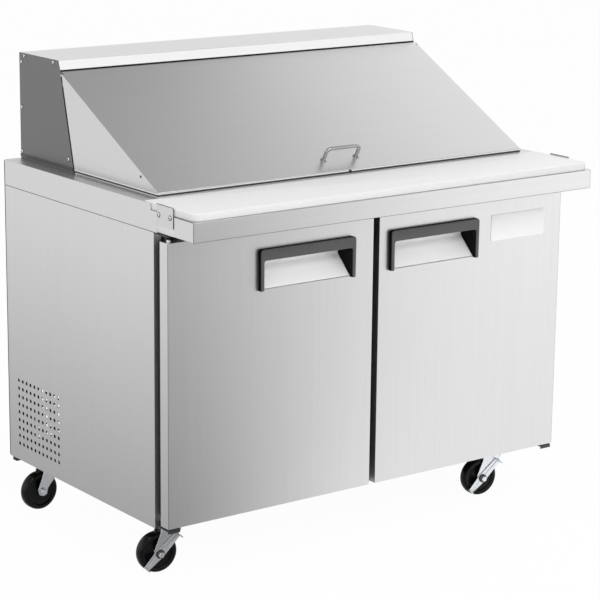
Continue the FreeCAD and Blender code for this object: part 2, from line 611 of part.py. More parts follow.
def hinges():
    """Top and bottom pivot brackets, each one plate and pin in one piece."""
    brackets = []
    for hand, sign in (("left", "-"), ("right", "")):
        plate_x = ("-side+1", "-side+hinge_width") if sign else ("side-hinge_width", "side-1")
        x = "%shinge_x" % sign
        upper = box("hinge_top_" + hand, plate_x, ("hinge_y-12", "body_front-0.2"),
                    ("seam-hinge_plate", "seam"))
        upper_pin = cylinder("hinge_top_pin_" + hand, "Z", (x, "hinge_y", "door_high-pin_length"),
                             "pin_radius", "seam-door_high+pin_length-1")
        brackets.append(fuse("top_hinge_" + hand, upper, upper_pin))
        lower = box("hinge_low_" + hand, plate_x, ("hinge_y-14", "body_front"),
                    ("door_low-hinge_plate-3", "door_low-3"))
        leaf = box("hinge_leaf_" + hand, plate_x, ("body_front-3", "body_front"),
                   ("base+1", "door_low-3"))
        lip = box("hinge_lip_" + hand, plate_x, ("hinge_y-14", "hinge_y-12"),
                  ("door_low-12", "door_low-3"))
        lower_pin = cylinder("hinge_low_pin_" + hand, "Z", (x, "hinge_y", "door_low-4"),
                             "pin_radius", "pin_length+4")
        brackets.append(fuse("low_hinge_" + hand, lower, leaf, lip, lower_pin))
    node("door_hinge_brackets", group("hinge_brackets", *brackets))


def pans():
    """Bars across the well and sixth-size pans that hang from them by their rims."""
    bars = []
    bar_z = ("rim_low-bar_height", "rim_low")
    count = SIZES["pan_rows"]
    for number in range(count + 1):
        low = "well_front+%d*pan_pitch_y" % number
        bars.append(box("pan_bar_%d" % number, ("-well_side", "well_side"),
                        (low, low + "+bar_width"), bar_z))
    node("pan_divider_bars", group("pan_bars", *bars))
    outer = pan_shell("pan_outer", "0")
    inner = pan_shell("pan_inner", "pan_wall")
    rim = box("pan_rim_block", ("-pan_length/2", "pan_length/2"), ("-pan_width/2", "pan_width/2"),
              ("-pan_rim_height", "0"))
    tub = cut("pan", fuse("pan_whole", outer, rim), inner)
    row_pans = []
    for row in range(count):
        for column in range(SIZES["pan_columns"]):
            row_pans.append(copy_of(
                "pan_%d_%d" % (row, column), tub,
                "(%d-(pan_columns-1)/2)*pan_pitch_x" % column,
                "well_front+bar_width/2+(%d+0.5)*pan_pitch_y" % row, "pan_top"))
    node("food_pans", group("pans", *row_pans))


def pan_shell(name, shrink):
    """The tapered inside or outside of a pan, its mouth at height zero."""
    body = doc.addObject("PartDesign::Body", name)
    sections = []
    for part, height, taper in (("mouth", "1" if shrink != "0" else "-0.5", "0"),
                                ("foot", "%s-pan_depth" % shrink, "pan_taper")):
        x = "pan_length/2-pan_rim-%s-%s" % (taper, shrink)
        y = "pan_width/2-pan_rim-%s-%s" % (taper, shrink)
        corner = "pan_corner-%s" % shrink
        sketch = outline(flat_sketch(body, "%s_%s" % (name, part), "XY"), [
            ("-(%s)+%s*0.3" % (x, corner), "-(%s)" % y), ("%s-%s*0.3" % (x, corner), "-(%s)" % y),
            (x, "-(%s)+%s*0.3" % (y, corner)), (x, "%s-%s*0.3" % (y, corner)),
            ("%s-%s*0.3" % (x, corner), y), ("-(%s)+%s*0.3" % (x, corner), y),
            ("-(%s)" % x, "%s-%s*0.3" % (y, corner)), ("-(%s)" % x, "-(%s)+%s*0.3" % (y, corner))])
        bind(sketch, **{"AttachmentOffset.Base.z": height})
        sections.append(sketch)
    loft = body.newObject("PartDesign::AdditiveLoft", name + "_loft")
    loft.Profile = sections[0]
    loft.Sections = [sections[1]]
    loft.Ruled = True
    return body


def shelves():
    """A wire shelf behind each door, on clips fixed to the side walls and the mullion."""
    racks, clips = [], []
    depth = ("body_front+wall+8", "body_front+wall+8+shelf_depth-30")
    for hand, x in (("left", ("-inner_side+shelf_clear", "-mullion_width/2-shelf_clear")),
                    ("right", ("mullion_width/2+shelf_clear", "inner_side-shelf_clear"))):
        length = "(%s)-(%s)" % (x[1], x[0])
        rods = [cylinder("%s_rod_%d" % (hand, i), "X", (x[0], y, "shelf_z"), "shelf_wire/2", length)
                for i, y in enumerate((depth[0], "(%s+%s)/2" % depth, depth[1]))]
        count = SIZES["shelf_wires"]
        wires = [cylinder("%s_wire_%d" % (hand, i), "Y",
                          ("%s+(%s)*%d/%d" % (x[0], length, i, count - 1), depth[0] + "-3",
                           "shelf_z+shelf_wire/2+shelf_rod/2-0.6"), "shelf_rod/2",
                          "(%s)-(%s)+6" % (depth[1], depth[0]))
                 for i in range(count)]
        racks.append(fuse(hand + "_rack", *rods, *wires))
        for end, spot in (("out", ("-inner_side", "-inner_side+clip_reach") if hand == "left"
                           else ("inner_side-clip_reach", "inner_side")),
                          ("in", ("-mullion_width/2-clip_reach", "-mullion_width/2")
                           if hand == "left" else ("mullion_width/2", "mullion_width/2+clip_reach"))):
            for name, y in (("front", depth[0]), ("rear", depth[1])):
                if end == "in" and name == "rear":
                    continue
                clips.append(box("clip_%s_%s_%s" % (hand, end, name), spot,
                                 (y + "-9", y + "+9"),
                                 ("shelf_z-shelf_wire/2-3", "shelf_z-shelf_wire/2")))
    post = box("shelf_post", ("-clip_reach-mullion_width/2", "clip_reach+mullion_width/2"),
               (depth[1] + "-9", depth[1] + "+9"), ("shelf_z-shelf_wire/2-3", "shelf_z-shelf_wire/2"))
    stem = box("shelf_stem", ("-12", "12"), (depth[1] + "-9", depth[1] + "+9"),
               ("floor", "shelf_z-shelf_wire/2-1"))
    clips.append(fuse("shelf_rear_post", post, stem))
    node("wire_shelves", group("racks", *racks))
    node("shelf_clips", group("clips", *clips))


def fan(name, label, centre, radius):
    """A four-bladed fan on a hub, its shaft hole along Y."""
    hub = cylinder(name + "_hub", "Y", ("0", "0", "0"), "fan_hub", "fan_depth")
    blades = []
    for number in range(4):
        blade = box("%s_blade_%d" % (name, number), ("fan_hub-3", radius), ("-1.2", "1.2"),
                    ("-(%s)*0.3" % radius, "(%s)*0.3" % radius))
        blade.setExpression("Placement", blade_turn(number, radius))
        blades.append(blade)
    bore = cylinder(name + "_bore", "Y", ("0", "-1", "0"), "shaft_radius+running_gap", "fan_depth+2")
    wheel = cut(name + "_wheel", fuse(name + "_whole", hub, *blades), bore)
    moved = copy_of(name + "_placed", wheel, *centre)
    node(label, group(name + "_unit", moved))


def blade_turn(number, radius):
    """Stands a blade across the hub, pitched and turned to its place."""
    start = ("create(<<placement>>; create(<<vector>>; %s; %s; %s);"
             " create(<<rotation>>; create(<<vector>>; 1; 0; 0); sizes.blade_pitch))" % (
                 formula("fan_hub-3"), formula("fan_depth/2+(%s)*0.3*sin(blade_pitch)" % radius),
                 formula("-(%s)*0.3*cos(blade_pitch)" % radius)))
    spin = ("create(<<placement>>; create(<<vector>>; 0; 0; 0);"
            " create(<<rotation>>; create(<<vector>>; 0; 1; 0); %d))" % (90 * number))
    return "%s * %s" % (spin, start)


def cold_parts():
    """Evaporator behind the pans; compressor, condenser and its fan in the rear bay."""
    coil_x = ("-coil_width/2", "coil_width/2")
    coil_z = ("coil_low", "coil_low+coil_height")
    block = box("coil_block", coil_x, ("coil_front", "coil_back"), coil_z)
    gaps = [box("coil_gap_%d" % i,
                ("-coil_width/2+coil_width*(%d+0.25)/coil_fins" % i,
                 "-coil_width/2+coil_width*(%d+0.75)/coil_fins" % i),
                ("coil_front-1", "coil_back-10"), ("coil_low-1", "coil_low+coil_height+1"))
            for i in range(SIZES["coil_fins"])]
    node("evaporator_coil", cut("coil", block, fuse("coil_gaps", *gaps)))
    wall_back = "body_back-wall"
    case = box("evap_case", ("-coil_width/2-20", "coil_width/2+20"),
               ("coil_front-70", wall_back), ("coil_low-14", "coil_low+coil_height+14"))
    inside = box("evap_inside", ("-coil_width/2-17", "coil_width/2+17"),
                 ("coil_front-67", wall_back + "+1"), ("coil_low-11", "coil_low+coil_height+40"))
    mouth = cylinder("evap_mouth", "Y", ("0", "coil_front-72", "coil_low+coil_height/2"),
                     "fan_radius+4", "10")
    node("evaporator_housing", cut("evap", case, inside, mouth))
    fan("evap_fan", "evaporator_fan",
        ("0", "coil_front-60", "coil_low+coil_height/2"), "fan_radius-4")
    evap_motor = fuse("evap_motor",
                      cylinder("evap_motor_can", "Y", ("0", "coil_front-38", "coil_low+coil_height/2"),
                               "motor_radius*0.7", "38"),
                      cylinder("evap_shaft", "Y", ("0", "coil_front-62", "coil_low+coil_height/2"),
                               "shaft_radius", "26"))

    foam_low = "base+base_thickness"
    can = turned("compressor_can", [
        ("0", "12"), ("compressor_radius-14", "12"), ("compressor_radius", "26"),
        ("compressor_radius", "compressor_height-22"),
        ("compressor_radius-26", "compressor_height"), ("0", "compressor_height")])
    foot = box("compressor_foot", ("-compressor_radius-18", "compressor_radius+18"),
               ("-compressor_radius+6", "compressor_radius-6"), ("8", "14"))
    pads = [cylinder("compressor_pad_%d" % i, "Z",
                     ("%s*(compressor_radius+6)" % sx, "%s*(compressor_radius-22)" % sy, "0"), "9", "8")
            for i, (sx, sy) in enumerate(((-1, -1), (1, -1), (1, 1), (-1, 1)))]
    whole = fuse("compressor_whole", can, foot, *pads)
    node("compressor", group("compressor_unit", copy_of(
        "compressor_placed", whole, "-240", "machine_front+machine_depth/2+6", foam_low)))

    cond_x = ("150-condenser_width/2", "150+condenser_width/2")
    cond_y = ("machine_front+100", "machine_front+100+condenser_depth")
    cond_z = (foam_low, foam_low + "+condenser_height")
    block = box("condenser_block", cond_x, cond_y, cond_z)
    slots = [box("condenser_gap_%d" % i,
                 ("150-condenser_width/2+condenser_width*(%d+0.25)/condenser_fins" % i,
                  "150-condenser_width/2+condenser_width*(%d+0.75)/condenser_fins" % i),
                 (cond_y[0] + "+10", cond_y[1] + "+1"), (foam_low + "+10", cond_z[1] + "-10"))
             for i in range(SIZES["condenser_fins"])]
    node("condenser_coil", cut("condenser", block, fuse("condenser_gaps", *slots)))
    mid_z = foam_low + "+condenser_height/2"
    shroud = box("shroud_block", cond_x, (cond_y[0] + "-34", cond_y[0]), cond_z)
    throat = cylinder("shroud_throat", "Y", ("150", cond_y[0] + "-36", mid_z),
                      "condenser_fan_radius+4", "40")
    node("condenser_shroud", cut("shroud", shroud, throat))
    fan("cond_fan", "condenser_fan", ("150", cond_y[0] + "-28", mid_z), "condenser_fan_radius-4")
    motor_y = cond_y[0] + "-28-10-motor_length"
    motor_can = cylinder("cond_motor_can", "Y", ("150", motor_y, mid_z), "motor_radius*0.9",
                         "motor_length")
    shaft = cylinder("cond_shaft", "Y", ("150", motor_y + "+motor_length-2", mid_z),
                     "shaft_radius", "34")
    stand = box("cond_motor_stand", ("150-12", "150+12"), (motor_y + "+8", motor_y + "+28"),
                (foam_low, mid_z + "-motor_radius*0.8"))
    evap_mount = box("evap_motor_stay", ("-8", "8"), ("coil_front-30", "coil_front-12"),
                     ("coil_low-11", "coil_low+coil_height/2-motor_radius*0.5"))
    node("fan_motors", group("motors", fuse("evap_motor_unit", evap_motor, evap_mount),
                             fuse("cond_motor_unit", motor_can, shaft, stand)))

    tray = box("condensate_tray", ("330", "500"), ("machine_front+60", "machine_front+220"),
               (foam_low, foam_low + "+40"))
    hollow = box("condensate_hollow", ("332", "498"), ("machine_front+62", "machine_front+218"),
                 (foam_low + "+2", foam_low + "+41"))
    node("condensate_pan", cut("condensate", tray, hollow))
    control = box("control_case", ("-90", "-10"), ("machine_front+150", "machine_front+240"),
                  (foam_low, foam_low + "+110"))
    node("control_box", control)


def caster(label, x, y, turned_by, braked):
    """One swivel caster: forked yoke with its axle, wheel and, on the front pair, a brake lever."""
    centre_y = "caster_trail"
    half = "(wheel_width/2+fork_gap)"
    race = cylinder(label + "_race", "Z", ("0", "0", "race_low+0.5"), "race_radius",
                    "race_height-1")
    crown = box(label + "_crown", ("-%s-fork_sheet" % half, half + "+fork_sheet"), ("-24", "26"),
                ("race_low-fork_sheet+0.5", "race_low+0.5"))
    arms = [prism("%s_arm_%s" % (label, side), "YZ", [
        ("-26", "race_low+0.5"), ("26", "race_low+0.5"), (centre_y + "+13", "wheel_radius+4"),
        (centre_y + "+9", "wheel_radius-11"), (centre_y + "-9", "wheel_radius-11"),
        (centre_y + "-15", "wheel_radius+4")], *span)
        for side, span in (("a", ("-%s-fork_sheet" % half, "-" + half)),
                           ("b", (half, half + "+fork_sheet")))]
    bore = cylinder(label + "_axle_hole", "X", ("-60", centre_y, "wheel_radius"), "axle_radius",
                    "120")
    fork = cut(label + "_fork", fuse(label + "_yoke", race, crown, *arms), bore)
    head_x = "(%s+fork_sheet+lever_sheet)" % half
    axle = cylinder(label + "_axle", "X", ("-" + head_x, centre_y, "wheel_radius"),
                    "axle_radius", "2*" + head_x)
    heads = [cylinder("%s_axle_head_%s" % (label, side), "X", (start, centre_y, "wheel_radius"),
                      "8", "5")
             for side, start in (("a", "-%s-5" % head_x), ("b", head_x))]
    bolt = fuse(label + "_bolt", axle, *heads)
    wheel = turned(label + "_wheel", [
        ("axle_radius+running_gap", "-wheel_width/2-1"), ("14", "-wheel_width/2-1"),
        ("14", "-wheel_width/2+3"), ("wheel_radius-12", "-wheel_width/2+3"),
        ("wheel_radius-10", "-wheel_width/2"), ("wheel_radius-4", "-wheel_width/2"),
        ("wheel_radius", "-wheel_width/2+5"), ("wheel_radius", "wheel_width/2-5"),
        ("wheel_radius-4", "wheel_width/2"), ("wheel_radius-10", "wheel_width/2"),
        ("wheel_radius-12", "wheel_width/2-3"), ("14", "wheel_width/2-3"),
        ("14", "wheel_width/2+1"), ("axle_radius+running_gap", "wheel_width/2+1")])
    place(wheel, "0", centre_y, "wheel_radius", "90", (0, 1, 0))
    turn = "90+" + turned_by
    held = group(label + "_held", fork, bolt)
    node(label + "_caster_fork", group(label + "_fork_set", copy_of(
        label + "_fork_at", held, x, y, "0", turn)))
    node(label + "_caster_wheel", group(label + "_wheel_set", copy_of(
        label + "_wheel_at", wheel, x, y, "0", turn)))
    if braked:
        outer = "-%s-fork_sheet" % half
        plate = prism(label + "_lever_plate", "YZ", from_axle(
            (30, -37), (41, -26), (12, 6), (-42, 47), (-52, 37), (-8, -9)),
            outer + "-lever_sheet", outer)
        flange = prism(label + "_lever_flange", "YZ", from_axle(
            (-42, 47), (-44, 49), (-54, 39), (-52, 37)), outer + "-lever_flange", outer)
        hole = cylinder(label + "_lever_hole", "X", ("-60", centre_y, "wheel_radius"),
                        "axle_radius+running_gap", "60")
        lever = cut(label + "_lever", fuse(label + "_lever_whole", plate, flange), hole)
        node(label + "_brake_pedal", group(label + "_pedal_set", copy_of(
            label + "_pedal_at", lever, x, y, "0", turn)))


def from_axle(*points):
    """Points in a caster's side view, given along and up from its axle for a 50 mm wheel."""
    return [("caster_trail+(%g)*wheel_radius/50" % y, "wheel_radius+(%g)*wheel_radius/50" % z)
            for y, z in points]


def casters():
    """Four plates bolted under the base and the casters that swivel below them."""
    spots = [("front_left", "-side+caster_left", "caster_front_y", "front_turn", True),
             ("front_right", "side-caster_right", "caster_front_y", "front_turn", True),
             ("rear_left", "-side+caster_left", "caster_back_y", "rear_turn", False),
             ("rear_right", "side-caster_right", "caster_back_y", "rear_turn", False)]
    plates = []
    for label, x, y, turned_by, braked in spots:
        plates.append(box(label + "_plate", (x + "-plate_width/2", x + "+plate_width/2"),
                          (y + "-plate_length/2", y + "+plate_length/2"), ("plate_low", "base")))
        caster(label, x, y, turned_by, braked)
    node("caster_plates", group("caster_plates", *plates))


def badge():
    """A bare nameplate on the right door."""
    return node("door_badge", box("badge", ("badge_x-badge_width/2", "badge_x+badge_width/2"),
                                  ("door_front-badge_thickness", "door_front"),
                                  ("badge_z-badge_height/2", "badge_z+badge_height/2")))


def build():
    cabinet()
    shelf_heads = top()
    hood_heads = hood()
    node("case_screws", group("case_screws", *shelf_heads, *hood_heads))
    lid()
    door("left", -1, "left_handle_x")
    door("right", 1, "right_handle_x")
    badge()
    hinges()
    pans()
    shelves()
    cold_parts()
    casters()


def export():
    """Checks the whole document, then writes each sub-part to its own file."""
    doc.recompute()
    faults = [thing.Name for thing in doc.Objects
              if any(word in thing.State for word in ("Invalid", "Error"))]
    faults += [part.Label for part in nodes if part.Shape.isNull() or not part.Shape.isValid()]
    if faults:
        raise RuntimeError("not built: " + ", ".join(faults))
    os.makedirs("parts", exist_ok=True)
    for part in nodes:
        part.Shape.exportStep("parts/%s.step" % part.Label)
        solids = part.Shape.Solids
        print("%-24s %2d solids %12.0f mm3" % (part.Label, len(solids), part.Shape.Volume))
    print(len(nodes), "nodes")


build()
export()
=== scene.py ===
"""Looks of a two-door sandwich prep table: its detailed pieces, their finishes and the stage."""

import json
import math

import bmesh
import bpy
import numpy as np
from bpy.props import FloatProperty, FloatVectorProperty, IntProperty, PointerProperty
from mathutils import Matrix, Vector


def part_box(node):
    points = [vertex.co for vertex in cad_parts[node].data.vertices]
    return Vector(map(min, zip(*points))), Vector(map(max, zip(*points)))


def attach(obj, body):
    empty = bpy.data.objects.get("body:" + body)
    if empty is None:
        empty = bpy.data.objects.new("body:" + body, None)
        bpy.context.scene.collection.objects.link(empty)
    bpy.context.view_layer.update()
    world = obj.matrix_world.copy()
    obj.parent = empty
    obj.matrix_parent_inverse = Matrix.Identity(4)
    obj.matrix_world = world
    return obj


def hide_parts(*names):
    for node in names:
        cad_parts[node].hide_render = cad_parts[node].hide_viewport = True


bl_info = {
    "name": "Sandwich prep table looks",
    "version": (1, 0, 0),
    "blender": (4, 5, 0),
    "location": "3D View > Sidebar > Prep table",
    "description": "Detailed pieces and finishes for a two-door sandwich prep table on casters",
    "category": "Object",
}

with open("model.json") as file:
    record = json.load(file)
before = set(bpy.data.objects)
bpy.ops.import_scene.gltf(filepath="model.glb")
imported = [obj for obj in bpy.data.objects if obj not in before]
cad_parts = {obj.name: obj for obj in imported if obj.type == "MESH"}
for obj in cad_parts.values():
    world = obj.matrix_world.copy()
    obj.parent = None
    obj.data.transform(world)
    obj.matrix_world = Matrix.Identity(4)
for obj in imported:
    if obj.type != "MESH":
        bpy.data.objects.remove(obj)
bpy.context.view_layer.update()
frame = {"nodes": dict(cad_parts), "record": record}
JOINTS = {joint["name"]: joint for joint in frame["record"]["behaviour"]["joints"]}
BODY_OF = {node: body for body, members in frame["record"]["behaviour"]["bodies"].items()
           for node in members}
SLOT_OF = {part["node"]: part["material_slot"] for part in frame["record"]["subparts"]}
CORNERS = ("front_left", "front_right", "rear_left", "rear_right")

WHITE = (1, 1, 1, 1)
UP = np.array([0.0, 0.0, 1.0])
LENS, SENSOR = 133.414, 36.0                      # mm
CAMERA_PLACE = (-3.2863, -4.4502, 1.8942)         # m
CAMERA_FORWARD = (0.57858, 0.78043, -0.23701)
CAMERA_RIGHT = (0.80482, -0.59342, 0.01067)
WELD = 1e-6                                       # points nearer than this become one, in m
RAMP_RISE = 0.047                                 # from the foot of a door's scoop to its back
SHEET = 0.003                                     # caster plates and forks
FORK_HALF = 0.017                                 # half the gap between a fork's legs
PAN_HALF = (0.088, 0.081)                         # half a pan's rim in x and y
FAN_BLADES = 5


# ---------------------------------------------------------------- settings

class FinishSettings(bpy.types.PropertyGroup):
    steel: FloatVectorProperty(
        name="Steel", description="Colour of the brushed stainless sheets", subtype="COLOR",
        default=(0.64, 0.64, 0.643), min=0, max=1)
    steel_roughness: FloatProperty(
        name="Steel roughness", description="How far the brushed sheets blur what they mirror",
        subtype="FACTOR", default=0.36, min=0, max=1)
    grain: FloatProperty(
        name="Grain", description="Strength of the brushed lines", subtype="FACTOR", default=0.5,
        min=0, max=1)
    hood_end: FloatVectorProperty(
        name="Hood end", description="Colour of the duller plates that close the hood",
        subtype="COLOR", default=(0.175, 0.175, 0.178), min=0, max=1)
    moulding: FloatVectorProperty(
        name="Handle moulding", description="Colour of the plastic door handles", subtype="COLOR",
        default=(0.082, 0.082, 0.084), min=0, max=1)
    board: FloatVectorProperty(
        name="Cutting board", description="Colour of the board", subtype="COLOR",
        default=(0.86, 0.86, 0.855), min=0, max=1)
    zinc: FloatVectorProperty(
        name="Zinc plate", description="Colour of the caster forks and small hardware",
        subtype="COLOR", default=(0.66, 0.70, 0.72), min=0, max=1)
    tyre: FloatVectorProperty(
        name="Wheels", description="Colour of the caster wheels", subtype="COLOR",
        default=(0.005, 0.005, 0.0055), min=0, max=1)


class ShapeSettings(bpy.types.PropertyGroup):
    fold: FloatProperty(
        name="Fold radius", description="Radius of the folded and cut edges of the steel sheets",
        unit="LENGTH", default=0.0012, min=0.0002, max=0.004)
    board_edge: FloatProperty(
        name="Board edge", description="Rounding along the cutting board's edges", unit="LENGTH",
        default=0.0025, min=0.0005, max=0.008)
    handle_edge: FloatProperty(
        name="Handle edge", description="Rounding of the door handle mouldings", unit="LENGTH",
        default=0.0032, min=0.0005, max=0.006)
    steps: IntProperty(
        name="Curve steps", description="Straight pieces in each quarter turn of a rounded corner",
        default=6, min=2, max=16)


class StageSettings(bpy.types.PropertyGroup):
    key: FloatProperty(name="Key lamp", description="Power of the soft lamp above the left front",
                       unit="POWER", default=84, min=0)
    front: FloatProperty(name="Front lamp", description="Power of the soft lamp at the right front",
                         unit="POWER", default=8, min=0)
    fill: FloatProperty(name="Fill lamp", description="Power of the overhead lamp", unit="POWER",
                        default=14, min=0)
    side: FloatProperty(name="Side lamp", description="Power of the lamp at the left",
                        unit="POWER", default=20, min=0)
    sky: FloatProperty(name="Sky", description="Strength of the soft light from above",
                       default=0.44, min=0, max=2)
    horizon: FloatProperty(name="Horizon", description="Strength of the soft light from the sides",
                           default=0.98, min=0, max=2)


def settings():
    scene = bpy.context.scene
    return scene.table_finish, scene.table_shape, scene.table_stage


# ---------------------------------------------------------------- shader maths

class Wire:
    """One shader output. Sums, products, quotients and tests of wires add their Math nodes."""

    def __init__(self, finish, socket):
        self.finish, self.socket = finish, socket

    def math(self, operation, *terms):
        return self.finish.node("ShaderNodeMath", {"operation": operation}, dict(enumerate(terms)))

    def __add__(self, other):
        return self.math("ADD", self, other)

    def __sub__(self, other):
        return self.math("SUBTRACT", self, other)

    def __rsub__(self, other):
        return self.math("SUBTRACT", other, self)

    def __mul__(self, other):
        return self.math("MULTIPLY", self, other)

    def __truediv__(self, other):
        return self.math("DIVIDE", self, other)

    def __gt__(self, other):
        return self.math("GREATER_THAN", self, other)

    __radd__, __rmul__ = __add__, __mul__

    def held(self, low=0.0, high=1.0):
        """The value kept between two limits."""
        raised = self.math("MAXIMUM", self, low)
        return raised.math("MINIMUM", raised, high)


class Finish:
    """A material or world under construction, with Object coordinates ready for its patterns."""

    def __init__(self, name, kind="materials"):
        self.block = getattr(bpy.data, kind).new(name)
        self.block.use_nodes = True
        self.tree = self.block.node_tree
        self.tree.nodes.clear()
        self.place = self.node("ShaderNodeTexCoord", {}, {}, "Object")

    def node(self, kind, choices, values, out=0):
        """Adds a node: its settings first, then a number, colour or wire for each input."""
        made = self.tree.nodes.new(kind)
        for name, choice in choices.items():
            setattr(made, name, choice)
        for key, value in values.items():
            if isinstance(value, Wire):
                self.tree.links.new(value.socket, made.inputs[key])
            else:
                made.inputs[key].default_value = value
        return None if out is None else Wire(self, made.outputs[out])

    def stretched(self, x, y, z):
        """Object coordinates multiplied along each axis."""
        return self.node("ShaderNodeMapping", {}, {"Vector": self.place, "Scale": (x, y, z)})

    def noise(self, x, y, z, detail=2.0):
        """Noise of about one cell per 1/x, 1/y and 1/z metres, from 0 to 1."""
        return self.node("ShaderNodeTexNoise", {}, {"Vector": self.stretched(x, y, z), "Scale": 1.0,
                                                    "Detail": detail})

    def mix(self, amount, low, high):
        """A colour between two colours."""
        return self.node("ShaderNodeMix", {"data_type": "RGBA"},
                         {0: amount, 6: low, 7: high}, 2)

    def bump(self, height, distance, strength=1.0):
        return self.node("ShaderNodeBump", {}, {"Height": height, "Distance": distance,
                                                "Strength": strength})

    def rays(self, *kinds):
        """1 for rays of any of the given kinds, 0 for the others."""
        return sum(self.node("ShaderNodeLightPath", {}, {}, f"Is {kind} Ray")
                   for kind in kinds).held()

    def surface(self, **values):
        """Ends the material in a Principled surface with the given socket values."""
        named = {word.replace("_", " ").title().replace("Ior", "IOR"): value
                 for word, value in values.items()}
        return self.ended(self.node("ShaderNodeBsdfPrincipled", {}, named, "BSDF"))

    def ended(self, shader, output="ShaderNodeOutputMaterial"):
        self.node(output, {}, {"Surface": shader}, None)
        return self.block


def tint(colour, factor):
    """A colour made darker or lighter, no channel past 1."""
    return tuple(min(1.0, channel * factor) for channel in colour[:3]) + (1.0,)


def brushed(name, colour, roughness, grain, along="x", metal=1.0):
    """Brushed sheet: long streaks along one axis in colour, gloss and relief, over faint clouds."""
    finish = Finish(name)
    streak = finish.noise(*[6 if axis == along else 900 for axis in "xyz"], detail=3.0)
    wide = finish.noise(*[1.2 if axis == along else 140 for axis in "xyz"])
    cloud = finish.noise(2.2, 2.2, 2.2, detail=1.0)
    shade = (streak * 0.45 + wide * 0.35 + cloud * 0.2).held()
    base = finish.mix(shade, tint(colour, 1 - 0.16 * grain), tint(colour, 1 + 0.12 * grain))
    rough = streak * (0.10 * grain) + cloud * 0.05 + (roughness - 0.05 * grain - 0.025)
    return finish.surface(
        base_color=base, metallic=metal, roughness=rough,
        normal=finish.bump(streak * 0.6 + wide * 0.4, 0.00006, 0.55 * grain))


def satin(name, colour, roughness, fleck=0.06, size=260, relief=0.00005, ior=1.5):
    """Moulded, cast or coated stuff: fine speckle in colour, gloss and relief, and faint clouds."""
    finish = Finish(name)
    speck = finish.noise(size, size, size, detail=4.0)
    cloud = finish.noise(5, 5, 5)
    base = finish.mix((speck * 0.6 + cloud * 0.4).held(), tint(colour, 1 - fleck),
                      tint(colour, 1 + fleck))
    return finish.surface(
        base_color=base, ior=ior, roughness=speck * 0.08 + cloud * 0.06 + (roughness - 0.07),
        normal=finish.bump(speck, relief, 0.6))


def plated(name, colour):
    """Zinc plate: bright metal with a mottled bluish bloom and soft scuffs."""
    finish = Finish(name)
    bloom = finish.noise(38, 38, 38, detail=4.0)
    scuff = finish.noise(420, 420, 60, detail=3.0)
    bright = tint((colour[0] * 1.05, colour[1], colour[2] * 1.02), 1.18)
    return finish.surface(
        base_color=finish.mix(bloom, tint(colour, 0.82), bright), metallic=1.0,
        roughness=bloom * 0.18 + scuff * 0.08 + 0.16, normal=finish.bump(scuff, 0.00008, 0.5))


def foam_block(name, colour):
    """Rigid foam: open cells in colour and relief."""
    finish = Finish(name)
    cells = finish.node("ShaderNodeTexVoronoi", {}, {"Vector": finish.place, "Scale": 700.0})
    base = finish.mix(cells.held(), tint(colour, 0.86), tint(colour, 1.05))
    return finish.surface(base_color=base, roughness=0.9, normal=finish.bump(cells, 0.0004, 0.5))


def finned(name, colour):
    """Fin stock: close upright fin edges over rolled metal."""
    finish = Finish(name)
    wave = finish.node("ShaderNodeTexWave", {"bands_direction": "X"},
                       {"Vector": finish.place, "Scale": 140.0, "Distortion": 0.3})
    base = finish.mix(wave, tint(colour, 0.6), tint(colour, 1.05))
    return finish.surface(base_color=base, metallic=0.9, roughness=0.42,
                          normal=finish.bump(wave, 0.0005, 0.7))


MATERIALS = {}
SHEETS = """left_side_panel right_side_panel top_frame board_shelf shelf_brackets hood_ends
    hood_cover lid_skin left_door_skin right_door_skin rear_grille base_pan rear_panel
    door_hinge_brackets lid_hinge_knuckles door_mullion left_door_liner right_door_liner lid_liner
    control_box condensate_pan condenser_shroud evaporator_housing pan_divider_bars""".split()
# Lid, hood and brackets take lighter or darker copies of the one steel, which paint light and
# shade.
SHEET_FINISH = {"left_side_panel": "upright_steel", "right_side_panel": "upright_steel",
                "left_door_skin": "upright_steel", "right_door_skin": "upright_steel",
                "shelf_brackets": "bracket_steel", "hood_cover": "hood_steel",
                "lid_skin": "lid_steel"}


